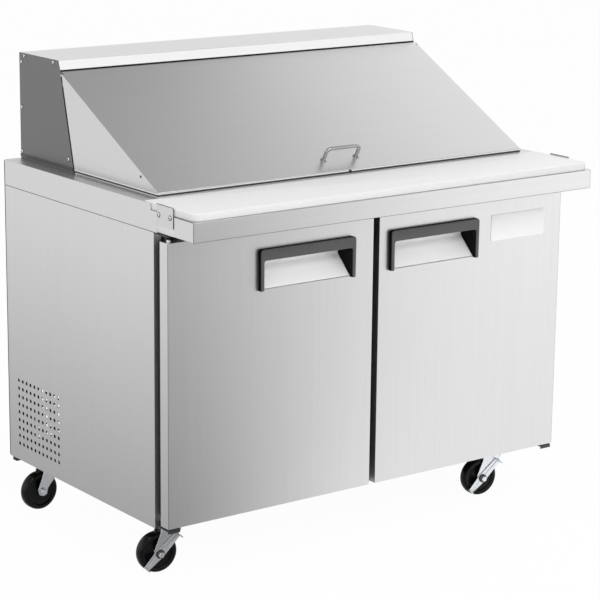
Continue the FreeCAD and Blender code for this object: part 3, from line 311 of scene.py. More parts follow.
def make_finishes(look):
    """Fills the table of finishes, by the names that pieces and slots use."""
    steel, rough, grain = look.steel, look.steel_roughness, look.grain
    MATERIALS.update({
        "stainless": brushed("Brushed_steel", steel, rough, grain, "x"),
        "upright_steel": brushed("Upright_brushed_steel", steel, rough, grain, "z"),
        # The lid's steel is the same brushed steel a little darker: painted shade.
        "lid_steel": brushed("Lid_brushed_steel", tint(steel, 0.96), rough, grain, "x"),
        # The scoop's steel is near white and barely metallic: painted light in place of its bright
        # reflection.
        "scoop_steel": brushed("Scoop_steel", (0.97, 0.97, 0.97), 0.45, 0.1, "x", 0.05),
        # The hood's steel is the same brushed steel made lighter: painted light.
        "hood_steel": brushed("Hood_brushed_steel", tint(steel, 1.28), rough, grain, "x"),
        # The brackets' steel is the same brushed steel a little darker: painted shade.
        "bracket_steel": brushed("Bracket_steel", tint(steel, 0.96), rough, grain, "z"),
        # The hood flanges' steel is nearly black: painted shade along the hood's foot.
        "flange_steel": brushed("Flange_steel", (0.09, 0.09, 0.092), rough, grain, "y"),
        "wire_steel": plated("Bent_wire_steel", (0.40, 0.41, 0.42)),
        # Near-black finish for the handle's sides and edges: painted shade.
        "moulding_edge": satin("Handle_moulding_edge", (0.006, 0.006, 0.006), 0.6, 0.10, 700,
                               0.00008, 1.12),
        "hood_end_steel": brushed("Hood_end_steel", look.hood_end, rough + 0.08, grain, "z"),
        "aluminium_liner": brushed("Liner_aluminium", (0.78, 0.79, 0.80), 0.42, 0.3, "x"),
        "foam": foam_block("Insulating_foam", (0.80, 0.72, 0.52)),
        "black_seal": satin("Seal_rubber", (0.022, 0.022, 0.023), 0.62, 0.2, 400),
        "charcoal_plastic": satin("Handle_moulding", look.moulding, 0.46, 0.10, 700, 0.00008),
        "white_board": satin("Board_polyethylene", look.board, 0.42, 0.02, 90, 0.00004),
        # The board's sides are the same white, rougher and a little darker: the darker colour is
        # painted shade.
        "board_edge": satin("Board_sawn_edge", tint(look.board, 0.87), 0.5, 0.03, 140, 0.00006),
        "white_plate": satin("Nameplate_enamel", (0.95, 0.95, 0.95), 0.25, 0.02, 120, 0.00002),
        "black_steel": satin("Black_coated_steel", (0.022, 0.022, 0.023), 0.4, 0.15, 300, 0.00008),
        "zinc": plated("Zinc_plate", look.zinc),
        "wheel_black": satin("Wheel_moulding", look.tyre, 0.22, 0.15, 300, 0.00004, 1.27),
        "pan_steel": brushed("Pan_steel", (0.62, 0.62, 0.63), 0.3, 0.3, "x"),
        "shelf_wire": satin("Coated_wire", (0.78, 0.79, 0.80), 0.35, 0.05, 300, 0.00006),
        "coil_fins": finned("Fin_stock", (0.70, 0.71, 0.73)),
        "white_case": satin("White_moulding", (0.80, 0.80, 0.79), 0.45, 0.03, 200, 0.00006),
        "fan_plastic": satin("Fan_moulding", (0.03, 0.03, 0.032), 0.42, 0.15, 400, 0.00005),
    })


# ---------------------------------------------------------------- surfaces

def skin(loops, closed=True, capped=True):
    """Points and faces of a surface through a stack of loops (rows, points, 3): quads join each row
    to the next, and an end face closes the first and the last row."""
    rows, count = loops.shape[:2]
    ring = np.arange(count if closed else count - 1)
    nxt = (ring + 1) % count
    base = np.arange(rows - 1)[:, None] * count
    quads = np.stack([base + ring, base + nxt, base + count + nxt, base + count + ring], -1)
    faces = quads.reshape(-1, 4).tolist()
    if capped:
        faces += [np.arange(count)[::-1].tolist(), ((rows - 1) * count + np.arange(count)).tolist()]
    return loops.reshape(-1, 3), faces


def joined(*parts):
    """Several (points, faces) sets as one."""
    points, faces, shift = [], [], 0
    for part_points, part_faces in parts:
        points.append(np.asarray(part_points, float))
        faces += [[index + shift for index in face] for face in part_faces]
        shift += len(part_points)
    return np.concatenate(points), faces


def piece(name, shape, body, slot, replaces=(), smooth=35.0, material=None):
    """Makes an object from points and faces, with outward normals, its finish and its body."""
    points, faces = shape
    mesh = bpy.data.meshes.new(name)
    mesh.from_pydata(points.tolist(), [], faces)
    work = bmesh.new()
    work.from_mesh(mesh)
    bmesh.ops.remove_doubles(work, verts=work.verts, dist=WELD)
    bmesh.ops.recalc_face_normals(work, faces=work.faces)
    work.to_mesh(mesh)
    work.free()
    thing = bpy.data.objects.new(name, mesh)
    bpy.context.scene.collection.objects.link(thing)
    mesh.materials.append(MATERIALS[material or slot])
    mesh.shade_smooth()
    mesh.set_sharp_from_angle(angle=math.radians(smooth))
    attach(thing, body)
    if replaces:
        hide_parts(*replaces)
    return thing


def islands(mesh):
    """The points of each separate piece of a mesh: every point takes the lowest number that it can
    reach along edges."""
    spots = np.empty(len(mesh.vertices) * 3)
    mesh.vertices.foreach_get("co", spots)
    spots, same = np.unique(np.round(spots.reshape(-1, 3), 6), axis=0, return_inverse=True)
    edges = np.empty(len(mesh.edges) * 2, np.int32)
    mesh.edges.foreach_get("vertices", edges)
    edges = same.ravel()[edges].reshape(-1, 2)
    label = np.arange(len(spots))
    while True:
        lowest = np.minimum(label[edges[:, 0]], label[edges[:, 1]])
        fresh = label.copy()
        np.minimum.at(fresh, edges[:, 0], lowest)
        np.minimum.at(fresh, edges[:, 1], lowest)
        if (fresh == label).all():
            return [spots[label == number] for number in np.unique(label)]
        label = fresh


def edged(thing, material, chosen):
    """Gives a second finish to the faces that a test of their normals picks."""
    faces = thing.data.polygons
    normals = np.empty(len(faces) * 3)
    faces.foreach_get("normal", normals)
    thing.data.materials.append(MATERIALS[material])
    faces.foreach_set("material_index", chosen(normals.reshape(-1, 3)).astype(np.int32))


def softened(node, width, material):
    """A merged copy of a sheet part with its folds and cut edges rounded."""
    mesh = frame["nodes"][node].data.copy()
    mesh.name = "Soft_" + node
    work = bmesh.new()
    work.from_mesh(mesh)
    bmesh.ops.remove_doubles(work, verts=work.verts, dist=WELD)
    bmesh.ops.dissolve_limit(work, angle_limit=math.radians(1.0), verts=work.verts,
                             edges=work.edges)
    work.to_mesh(mesh)
    work.free()
    thing = bpy.data.objects.new("Soft_" + node, mesh)
    bpy.context.scene.collection.objects.link(thing)
    mesh.materials.clear()
    mesh.materials.append(MATERIALS[material])
    mesh.shade_smooth()
    mesh.set_sharp_from_angle(angle=math.radians(40))
    bevel = thing.modifiers.new("Folds", "BEVEL")
    bevel.width, bevel.segments = width, 2
    bevel.limit_method, bevel.angle_limit = "ANGLE", math.radians(28)
    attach(thing, BODY_OF[node])
    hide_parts(node)
    return thing


def rounded(points, radii, inset=0.0, steps=6):
    """A flat outline with round corners, moved inwards by an inset. Each corner's arc is tangent to
    both of its sides: its centre stands one radius in from each. Corners run anticlockwise."""
    corner = np.asarray(points, float)
    count = len(corner)
    radius = np.broadcast_to(np.asarray(radii, float), (count,))
    before, after = np.roll(corner, 1, 0), np.roll(corner, -1, 0)
    into, out = corner - before, after - corner
    into /= np.linalg.norm(into, axis=1, keepdims=True)
    out /= np.linalg.norm(out, axis=1, keepdims=True)
    cross = into[:, 0] * out[:, 1] - into[:, 1] * out[:, 0]
    turn = np.arctan2(cross, (into * out).sum(1))
    normal_in = np.stack([-into[:, 1], into[:, 0]], 1)
    normal_out = np.stack([-out[:, 1], out[:, 0]], 1)
    mitre = (normal_in + normal_out) / (1 + (normal_in * normal_out).sum(1))[:, None]
    spot = corner + mitre * inset
    bend = np.maximum(radius - np.sign(turn) * inset, 1e-5)
    reach = bend * np.tan(np.abs(turn) / 2)
    centre = spot - into * reach[:, None] + normal_in * (np.sign(turn) * bend)[:, None]
    start = -normal_in * np.sign(turn)[:, None]
    angle = np.arctan2(start[:, 1], start[:, 0])[:, None] \
        + turn[:, None] * np.linspace(0, 1, steps + 1)
    return np.stack([centre[:, None, 0] + bend[:, None] * np.cos(angle),
                     centre[:, None, 1] + bend[:, None] * np.sin(angle)], -1).reshape(-1, 2)


def slab(points, radii, low, high, edge, place, steps=6, low_edge=None):
    """A plate of a rounded outline between two heights. Near each face the outline moves inwards
    along a quarter circle: inset = edge*(1-cos t), height = high - edge*(1-sin t)."""
    t = np.linspace(0, math.pi / 2, 5)
    under = edge if low_edge is None else low_edge
    rows = [(under * (1 - math.sin(a)), low + under * (1 - math.cos(a))) for a in t]
    rows += [(edge * (1 - math.cos(a)), high - edge * (1 - math.sin(a))) for a in t]
    count = len(points) * (steps + 1)
    flat = [np.column_stack([rounded(points, radii, inset, steps), np.full(count, height)])
            for inset, height in rows]
    return skin(place(np.array(flat)))


def rectangle(u, v):
    return [(u[0], v[0]), (u[1], v[0]), (u[1], v[1]), (u[0], v[1])]


def lathe(profile, centre, axis, count=48):
    """A closed half section (radius, height) turned about an axis, each point round a circle."""
    profile = np.asarray(profile, float)
    axis = np.asarray(axis, float) / np.linalg.norm(axis)
    side = np.cross(axis, (0, 0, 1) if abs(axis[2]) < 0.9 else (1, 0, 0))
    side /= np.linalg.norm(side)
    third = np.cross(axis, side)
    angle = np.linspace(0, 2 * math.pi, count, endpoint=False)
    spoke = np.cos(angle)[:, None] * side + np.sin(angle)[:, None] * third
    loops = np.asarray(centre) + profile[:, None, 0:1] * spoke[None] + profile[:, None, 1:2] * axis
    loops = np.concatenate([loops, loops[:1]])
    return skin(loops, capped=False)


def spun(profile, centre, axis, count=32):
    """A solid turned from an open profile that starts and ends on the axis."""
    profile = np.asarray(profile, float)
    profile[:, 0] = np.maximum(profile[:, 0], 1e-5)
    points, faces = lathe(profile, centre, axis, count)
    rows = len(profile)
    keep = [face for face in faces if not max(face) >= rows * count]
    caps = [list(range(count))[::-1], list(range((rows - 1) * count, rows * count))]
    return points[:rows * count], keep + caps


def tube(path, radius, count=14, capped=True):
    """A round bar along a path: circles stand square to the path's direction at each point, turned
    as little as possible from one to the next."""
    path = np.asarray(path, float)
    along = np.gradient(path, axis=0)
    along /= np.linalg.norm(along, axis=1, keepdims=True)
    start = np.cross(along[0], (0.31, 0.73, 0.61))
    sides = [start / np.linalg.norm(start)]
    for direction in along[1:]:
        side = sides[-1] - direction * np.dot(sides[-1], direction)
        sides.append(side / np.linalg.norm(side))
    sides = np.array(sides)
    thirds = np.cross(along, sides)
    angle = np.linspace(0, 2 * math.pi, count, endpoint=False)
    size = np.broadcast_to(np.asarray(radius, float), (len(path),))[:, None, None]
    loops = path[:, None] + size * (np.cos(angle)[None, :, None] * sides[:, None]
                                    + np.sin(angle)[None, :, None] * thirds[:, None])
    return skin(loops, capped=capped)


def bent(points, radius, steps=8):
    """A path of straight runs whose inner corners are arcs of one radius."""
    points = [np.asarray(point, float) for point in points]
    path = [points[0]]
    for before, here, after in zip(points, points[1:], points[2:]):
        a, b = before - here, after - here
        a, b = a / np.linalg.norm(a), b / np.linalg.norm(b)
        half = math.acos(np.clip(np.dot(a, b), -1, 1)) / 2
        reach = radius / math.tan(half)
        middle = here + (a + b) / np.linalg.norm(a + b) * radius / math.sin(half)
        u = (here + a * reach - middle) / radius
        w = (here + b * reach - middle) / radius
        sweep = math.acos(np.clip(np.dot(u, w), -1, 1))
        for part in np.linspace(0, 1, steps):
            arm = (math.sin((1 - part) * sweep) * u + math.sin(part * sweep) * w) / math.sin(sweep)
            path.append(middle + arm * radius)
    path.append(points[-1])
    return np.array(path)


def border(grid):
    """The points round the edge of a grid, in order."""
    return np.concatenate([grid[0, :-1], grid[:-1, -1], grid[-1, :0:-1], grid[:0:-1, 0]])


def axes(origin, u, v, w):
    """A placing function: (a, b, c) goes to origin + a*u + b*v + c*w."""
    frame_of = np.array([u, v, w], float)
    return lambda flat: np.asarray(origin, float) + flat @ frame_of


UPRIGHT = axes((0, 0, 0), (1, 0, 0), (0, 1, 0), (0, 0, 1))
FACING = axes((0, 0, 0), (1, 0, 0), (0, 0, 1), (0, -1, 0))
SIDEWAYS = axes((0, 0, 0), (0, 1, 0), (0, 0, 1), (1, 0, 0))


def span(node):
    low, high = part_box(node)
    return np.array(low), np.array(high)


def screw(centre, axis, radius, height):
    """A domed cross-recess screw head, sunk a little into its face, and two black bars on the dome
    that paint the shade of its cross recess.
    """
    t = np.linspace(0, math.pi / 2, 6)
    dome = [(0, -0.0006)] + [(radius, -0.0006)] + [
        (radius * math.cos(a), height * (0.25 + 0.75 * math.sin(a))) for a in t]
    axis = np.asarray(axis, float)
    side = np.cross(axis, (0.2, 0.5, 0.84))
    side /= np.linalg.norm(side)
    third = np.cross(axis, side)
    marks = [slab(rectangle((-a, a), (-b, b)), 0.0002, height * 0.8, height * 1.06, 0.0001,
                  axes(centre, side, third, axis), 2)
             for a, b in ((radius * 0.62, radius * 0.12), (radius * 0.12, radius * 0.62))]
    return joined(spun(dome, centre, axis, 20)), joined(*marks)


# ---------------------------------------------------------------- operators

class TABLE_OT_stage(bpy.types.Operator):
    """Sets the floor, the camera, the soft lamps and the even light"""
    bl_idname = "table.stage"
    bl_label = "Stage"

    def execute(self, context):
        stage = settings()[2]
        scene = context.scene
        scene.view_settings.view_transform = "Standard"
        lens = bpy.data.cameras.new("Camera")
        lens.lens, lens.sensor_width, lens.clip_end = LENS, SENSOR, 200.0
        camera = bpy.data.objects.new("Camera", lens)
        forward, right = Vector(CAMERA_FORWARD), Vector(CAMERA_RIGHT)
        turn = Matrix((right, right.cross(forward), -forward)).transposed()
        camera.matrix_world = Matrix.Translation(CAMERA_PLACE) @ turn.to_4x4()
        scene.collection.objects.link(camera)
        scene.camera = camera
        self.floor()
        scene.world = self.sky(stage)
        self.card()
        lamps = (("Key_lamp", stage.key, 2.6, (-0.9, -3.1, 3.7), (0.0, -0.3, 0.6)),
                 ("Front_lamp", stage.front, 2.4, (2.9, -3.8, 2.1), (0.2, 0.0, 1.1)),
                 ("Overhead_lamp", stage.fill, 2.2, (2.9, 1.1, 3.0), (0.4, 0.0, 1.0)),
                 ("Side_lamp", stage.side, 3.0, (-4.2, 1.6, 2.0), (-0.4, 0.1, 0.5)))
        for name, power, width, spot, aim in lamps:
            lamp = bpy.data.lights.new(name, "AREA")
            lamp.energy, lamp.size = power, width
            thing = bpy.data.objects.new(name, lamp)
            thing.location = spot
            look = Vector(aim) - Vector(spot)
            thing.rotation_euler = look.to_track_quat("-Z", "Y").to_euler()
            thing.visible_camera = False
            scene.collection.objects.link(thing)
        return {"FINISHED"}

    def square(self, name, half, height, material):
        """A flat square about the origin that isn't part of the table."""
        mesh = bpy.data.meshes.new(name)
        corners = [(-half, -half, height), (half, -half, height), (half, half, height),
                   (-half, half, height)]
        mesh.from_pydata(corners, [], [(0, 1, 2, 3)])
        mesh.materials.append(material)
        thing = bpy.data.objects.new(name, mesh)
        bpy.context.scene.collection.objects.link(thing)
        return thing

    def floor(self):
        """A pale floor that looks nearly white and still lights the table by its own colour."""
        finish = Finish("Studio_floor")
        lit = finish.node("ShaderNodeBsdfPrincipled", {}, {
            "Base Color": (0.9, 0.9, 0.9, 1), "Roughness": 0.9, "Emission Color": WHITE,
            "Emission Strength": 0.0}, "BSDF")
        white = finish.node("ShaderNodeEmission", {}, {"Color": WHITE, "Strength": 1.0})
        seen = finish.rays("Camera", "Glossy", "Transmission")
        self.square("Floor", 60.0, 0.0, finish.ended(
            finish.node("ShaderNodeMixShader", {}, {0: seen * 0.97, 1: lit, 2: white})))

    def sky(self, stage):
        """Soft light that passes smoothly from its level at the sides to its level above, and looks
        white itself."""
        world = Finish("Soft_light", "worlds")
        view = world.node("ShaderNodeTexCoord", {}, {}, "Generated")
        up = world.node("ShaderNodeSeparateXYZ", {}, {"Vector": view}, "Z")
        level = world.node("ShaderNodeMapRange", {"interpolation_type": "SMOOTHSTEP"}, {
            0: up, 1: 0.25, 2: 0.72, 3: stage.horizon, 4: stage.sky})
        ambient = world.node("ShaderNodeBackground", {}, {"Color": WHITE, "Strength": level})
        shown = world.node("ShaderNodeBackground", {}, {"Color": WHITE, "Strength": 1.0})
        return world.ended(world.node("ShaderNodeMixShader", {}, {
            0: world.rays("Camera", "Transmission"), 1: ambient, 2: shown}),
            "ShaderNodeOutputWorld")

    def card(self):
        """A reflector card on the floor, seen only in reflections. Its light falls off near the
        table and towards the left front, so that flat steel shows a soft gradient and not one even
        tone. Each slope is a distance past a line, scaled and held between 0 and 1."""
        finish = Finish("Reflector_card")
        x, y = (finish.node("ShaderNodeSeparateXYZ", {}, {"Vector": finish.place}, letter)
                for letter in "XY")
        across = ((x + y * 0.742 + 0.865) / 0.60).held()
        far = ((y + 0.33) * -0.40).held()
        lip = ((y + 3.35) * -3.0).held()
        front = across * (far * 0.28 + lip * 0.90 + 0.85) - far * 0.07 - lip * 0.24 + 0.34
        near, middle, edge = (((x + start) * slope).held()
                              for start, slope in ((0.6, -0.5), (2.0, -1.8), (2.9, -2.0)))
        left = near * 0.52 + middle * 0.30 - edge * 0.36 + 0.48
        rear = y > -0.28
        strength = front * (1.0 - rear) + left * rear
        card = self.square("Reflector_card", 7.0, 0.001, finish.ended(
            finish.node("ShaderNodeEmission", {}, {"Color": WHITE, "Strength": strength})))
        for ray in ("camera", "diffuse", "transmission", "volume_scatter", "shadow"):
            setattr(card, "visible_" + ray, False)


class TABLE_OT_finishes(bpy.types.Operator):
    """Gives every carried-over part its finish"""
    bl_idname = "table.finishes"
    bl_label = "Finishes"

    def execute(self, context):
        make_finishes(context.scene.table_finish)
        for node, thing in frame["nodes"].items():
            thing.data.materials.clear()
            thing.data.materials.append(MATERIALS[SLOT_OF[node]])
        # The insulation's forward-facing faces take the black finish: painted shade under the door
        # header.
        edged(frame["nodes"]["cabinet_insulation"], "black_seal",
              lambda normals: normals[:, 1] < -0.5)
        return {"FINISHED"}


class TABLE_OT_sheets(bpy.types.Operator):
    """Rounds the folds and edges of the steel sheets"""
    bl_idname = "table.sheets"
    bl_label = "Folded sheets"

    def execute(self, context):
        fold = context.scene.table_shape.fold
        for node in SHEETS:
            sharper = 0.35 if node.endswith("side_panel") else 1.0
            softened(node, fold * sharper, SHEET_FINISH.get(node, SLOT_OF[node]))
        return {"FINISHED"}


class TABLE_OT_board(bpy.types.Operator):
    """Makes the cutting board with its round front corners and eased edges"""
    bl_idname = "table.board"
    bl_label = "Cutting board"

    def execute(self, context):
        shape = context.scene.table_shape
        low, high = span("cutting_board")
        outline = rectangle((low[0], high[0]), (low[1], high[1]))
        board = piece("Cutting_board", slab(outline, (0.022, 0.022, 0.004, 0.004), low[2], high[2],
                                            shape.board_edge, UPRIGHT, shape.steps),
                      "cutting_board", "white_board", ("cutting_board",))
        # Faces on the board's sides take the darker white: painted shade.
        edged(board, "board_edge", lambda normals: np.abs(normals[:, 2]) < 0.6)
        return {"FINISHED"}


class TABLE_OT_handles(bpy.types.Operator):
    """Makes the moulded door handles and the steel scoops behind them"""
    bl_idname = "table.handles"
    bl_label = "Door handles"

    def execute(self, context):
        shape = context.scene.table_shape
        for hand in ("left", "right"):
            low, high = span(hand + "_door_handle")
            body = hand + "_door"
            door_low, _ = span(hand + "_door_skin")
            scoop_low, scoop_high = span(hand + "_door_scoop")
            front, face = low[1], door_low[1]
            x0, x1, z1 = low[0], high[0], high[2]
            leg, bar, height = 0.0108, 0.028, 0.101
            foot = z1 - height
            outline = [(x0 + 0.001, foot), (x0 + leg, foot), (x0 + leg, z1 - bar),
                       (x1 - leg, z1 - bar), (x1 - leg, foot), (x1 - 0.001, foot), (x1, z1),
                       (x0, z1)]
            tip, crook, shoulder = 0.0025, 0.006, 0.0085
            bezel = slab(outline, (tip, tip, crook, crook, tip, tip, shoulder, shoulder),
                         -face - 0.0002, -front, shape.handle_edge, FACING, shape.steps, 0.0002)
            depth = scoop_high[1] + 0.001
            cheek = [(face, scoop_low[2]), (depth, scoop_low[2] + RAMP_RISE),
                     (depth, scoop_high[2]), (face, scoop_high[2])]
            sides = [slab(cheek, 0.0008, start, start + 0.004, 0.0004, SIDEWAYS, 2)
                     for start in (x0 + leg - 0.004, x1 - leg)]
            handle = piece(hand.title() + "_handle", joined(bezel, *sides), body,
                           "charcoal_plastic", (hand + "_door_handle",))
            # Faces not turned to the front, on the bezel's sides and the cheeks, take the
            # near-black finish: painted shade.
            edged(handle, "moulding_edge", lambda normals: normals[:, 1] > -0.45)
            self.scoop(hand, face, scoop_low, scoop_high, body)
        return {"FINISHED"}

    def scoop(self, hand, face, low, high, body):
        """The scoop's section: a ramp that rises back, a round bend, an upright back, a round bend
        and a roof, carried across the opening and closed by its own thickness."""
        sheet = 0.0012
        back, roof = high[1] - sheet, high[2] - sheet
        ramp = bent([(0, face + 0.0004, low[2] + 0.0016), (0, back, low[2] + RAMP_RISE),
                     (0, back, roof), (0, face + 0.002, roof)], 0.009, 8)
        inner = ramp[:, 1:]
        along = np.gradient(inner, axis=0)
        along /= np.linalg.norm(along, axis=1, keepdims=True)
        outer = inner + np.stack([along[:, 1], -along[:, 0]], 1) * sheet
        outer[:, 0] = np.minimum(outer[:, 0], high[1])
        section = np.concatenate([inner, outer[::-1]])
        loops = np.array([np.column_stack([np.full(len(section), x), section])
                          for x in np.linspace(low[0], high[0], 9)])
        # The steel scoop takes the near-white finish: painted light.
        piece(hand.title() + "_scoop", skin(loops), body, "stainless", (hand + "_door_scoop",),
              material="scoop_steel")


class TABLE_OT_seals(bpy.types.Operator):
    """Makes the bellows seals behind the doors"""
    bl_idname = "table.seals"
    bl_label = "Seals"

    def execute(self, context):
        for hand in ("left", "right"):
            low, high = span(hand + "_door_gasket")
            self.ring(hand, low, high)
        return {"FINISHED"}

    def ring(self, hand, low, high):
        """A bellows section (a dart, two pleats and a magnet nose) carried round the door's edge,
        with mitred corners: at each depth the outline is the rectangle moved inwards."""
        section = [(0.003, 0), (0.0, 0.25), (0.003, 0.45), (0.0005, 0.62), (0.002, 0.8),
                   (0.001, 1.0), (0.016, 1.0), (0.0175, 0.8), (0.0155, 0.62), (0.018, 0.45),
                   (0.0155, 0.25), (0.018, 0)]
        loops = []
        for inset, part in section + section[:1]:
            flat = rounded(rectangle((low[0], high[0]), (low[2], high[2])), 0.020, inset, 4)
            depth = np.full(len(flat), low[1] + (high[1] - low[1]) * part)
            loops.append(np.column_stack([flat[:, 0], depth, flat[:, 1]]))
        piece(hand.title() + "_door_seal", skin(np.array(loops), capped=False), hand + "_door",
              "black_seal", (hand + "_door_gasket",))


class TABLE_OT_nameplate(bpy.types.Operator):
    """Makes the bare nameplate, a thin plate with eased edges"""
    bl_idname = "table.nameplate"
    bl_label = "Nameplate"

    def execute(self, context):
        low, high = span("door_badge")
        outline = rectangle((low[0], high[0]), (low[2], high[2]))
        plate = slab(outline, 0.003, -high[1] - 0.0002, -low[1], 0.0005, FACING, 5, 0.0001)
        piece("Nameplate", plate, "right_door", "white_plate", ("door_badge",))
        return {"FINISHED"}


class TABLE_OT_lid_parts(bpy.types.Operator):
    """Makes the lid's wire handle with its end nuts and the small rubber stop"""
    bl_idname = "table.lid_parts"
    bl_label = "Lid handle and stop"

    def execute(self, context):
        low, high = span("lid_skin")
        grip_low, grip_high = span("lid_handle")
        slope = math.atan2(high[2] - (low[2] + 0.0065), high[1] - low[1])
        out = np.array([0, -math.sin(slope), math.cos(slope)])
        wire, stand = 0.0045, 0.0345
        half = (grip_high[0] - grip_low[0]) / 2 - wire
        top = np.array([0, grip_low[1] + wire * (math.sin(slope) + 1) * 0.9, grip_high[2] - wire])
        top = top + out * 0.0015
        foot = top - out * stand
        spots = [(-half, foot - out * 0.001), (-half, top), (half, top), (half, foot - out * 0.001)]
        path = bent([np.array([x, 0, 0]) + spot for x, spot in spots], 0.012, 9)
        nut = [(0, -0.0005), (0.0085, -0.0005), (0.0085, 0.0016), (0.0055, 0.0028), (0, 0.0028)]
        nuts = [spun(nut, np.array([x, 0, 0]) + foot, out, 24) for x in (-half, half)]
        piece("Lid_handle", joined(tube(path, wire, 16), *nuts), "lid", "zinc", ("lid_handle",),
              material="wire_steel")
        low, high = span("lid_bumper")
        centre = np.array([(low[0] + high[0]) / 2, high[1], (low[2] + high[2]) / 2])
        length = high[1] - low[1]
        stop = [(0, 0), (0.003, 0), (0.003, length * 0.6), (0.0022, length * 0.92), (0, length)]
        piece("Lid_stop", spun(stop, centre, (0, -1, 0), 20), "lid", "black_seal", ("lid_bumper",))
        return {"FINISHED"}


class TABLE_OT_screws(bpy.types.Operator):
    """Makes the cross-recess screws of the hood ends and shelf brackets, with painted shade in
    their recesses and round their heads
    """
    bl_idname = "table.screws"
    bl_label = "Cabinet screws"

    def execute(self, context):
        heads, marks = [], []
        for spots in islands(frame["nodes"]["case_screws"].data):
            middle = (spots.min(0) + spots.max(0)) / 2
            sign = np.sign(middle[0])
            radius = (spots[:, 1].max() - spots[:, 1].min()) / 2 + 0.0004
            root = np.array([sign * np.abs(spots[:, 0]).min(), middle[1], middle[2]])
            head, mark = screw(root, (sign, 0, 0), radius, 0.0024)
            # A black disc a little wider than the head, under it: painted shadow round the screw.
            ring = [(0, 0), (radius + 0.0011, 0), (radius + 0.0009, 0.0006), (0, 0.0006)]
            heads.append(head)
            marks += [mark, spun(ring, root, (sign, 0, 0), 24)]
        piece("Cabinet_screws", joined(*heads), "root", "zinc", ("case_screws",))
        piece("Screw_recesses", joined(*marks), "root", "black_steel")
        return {"FINISHED"}


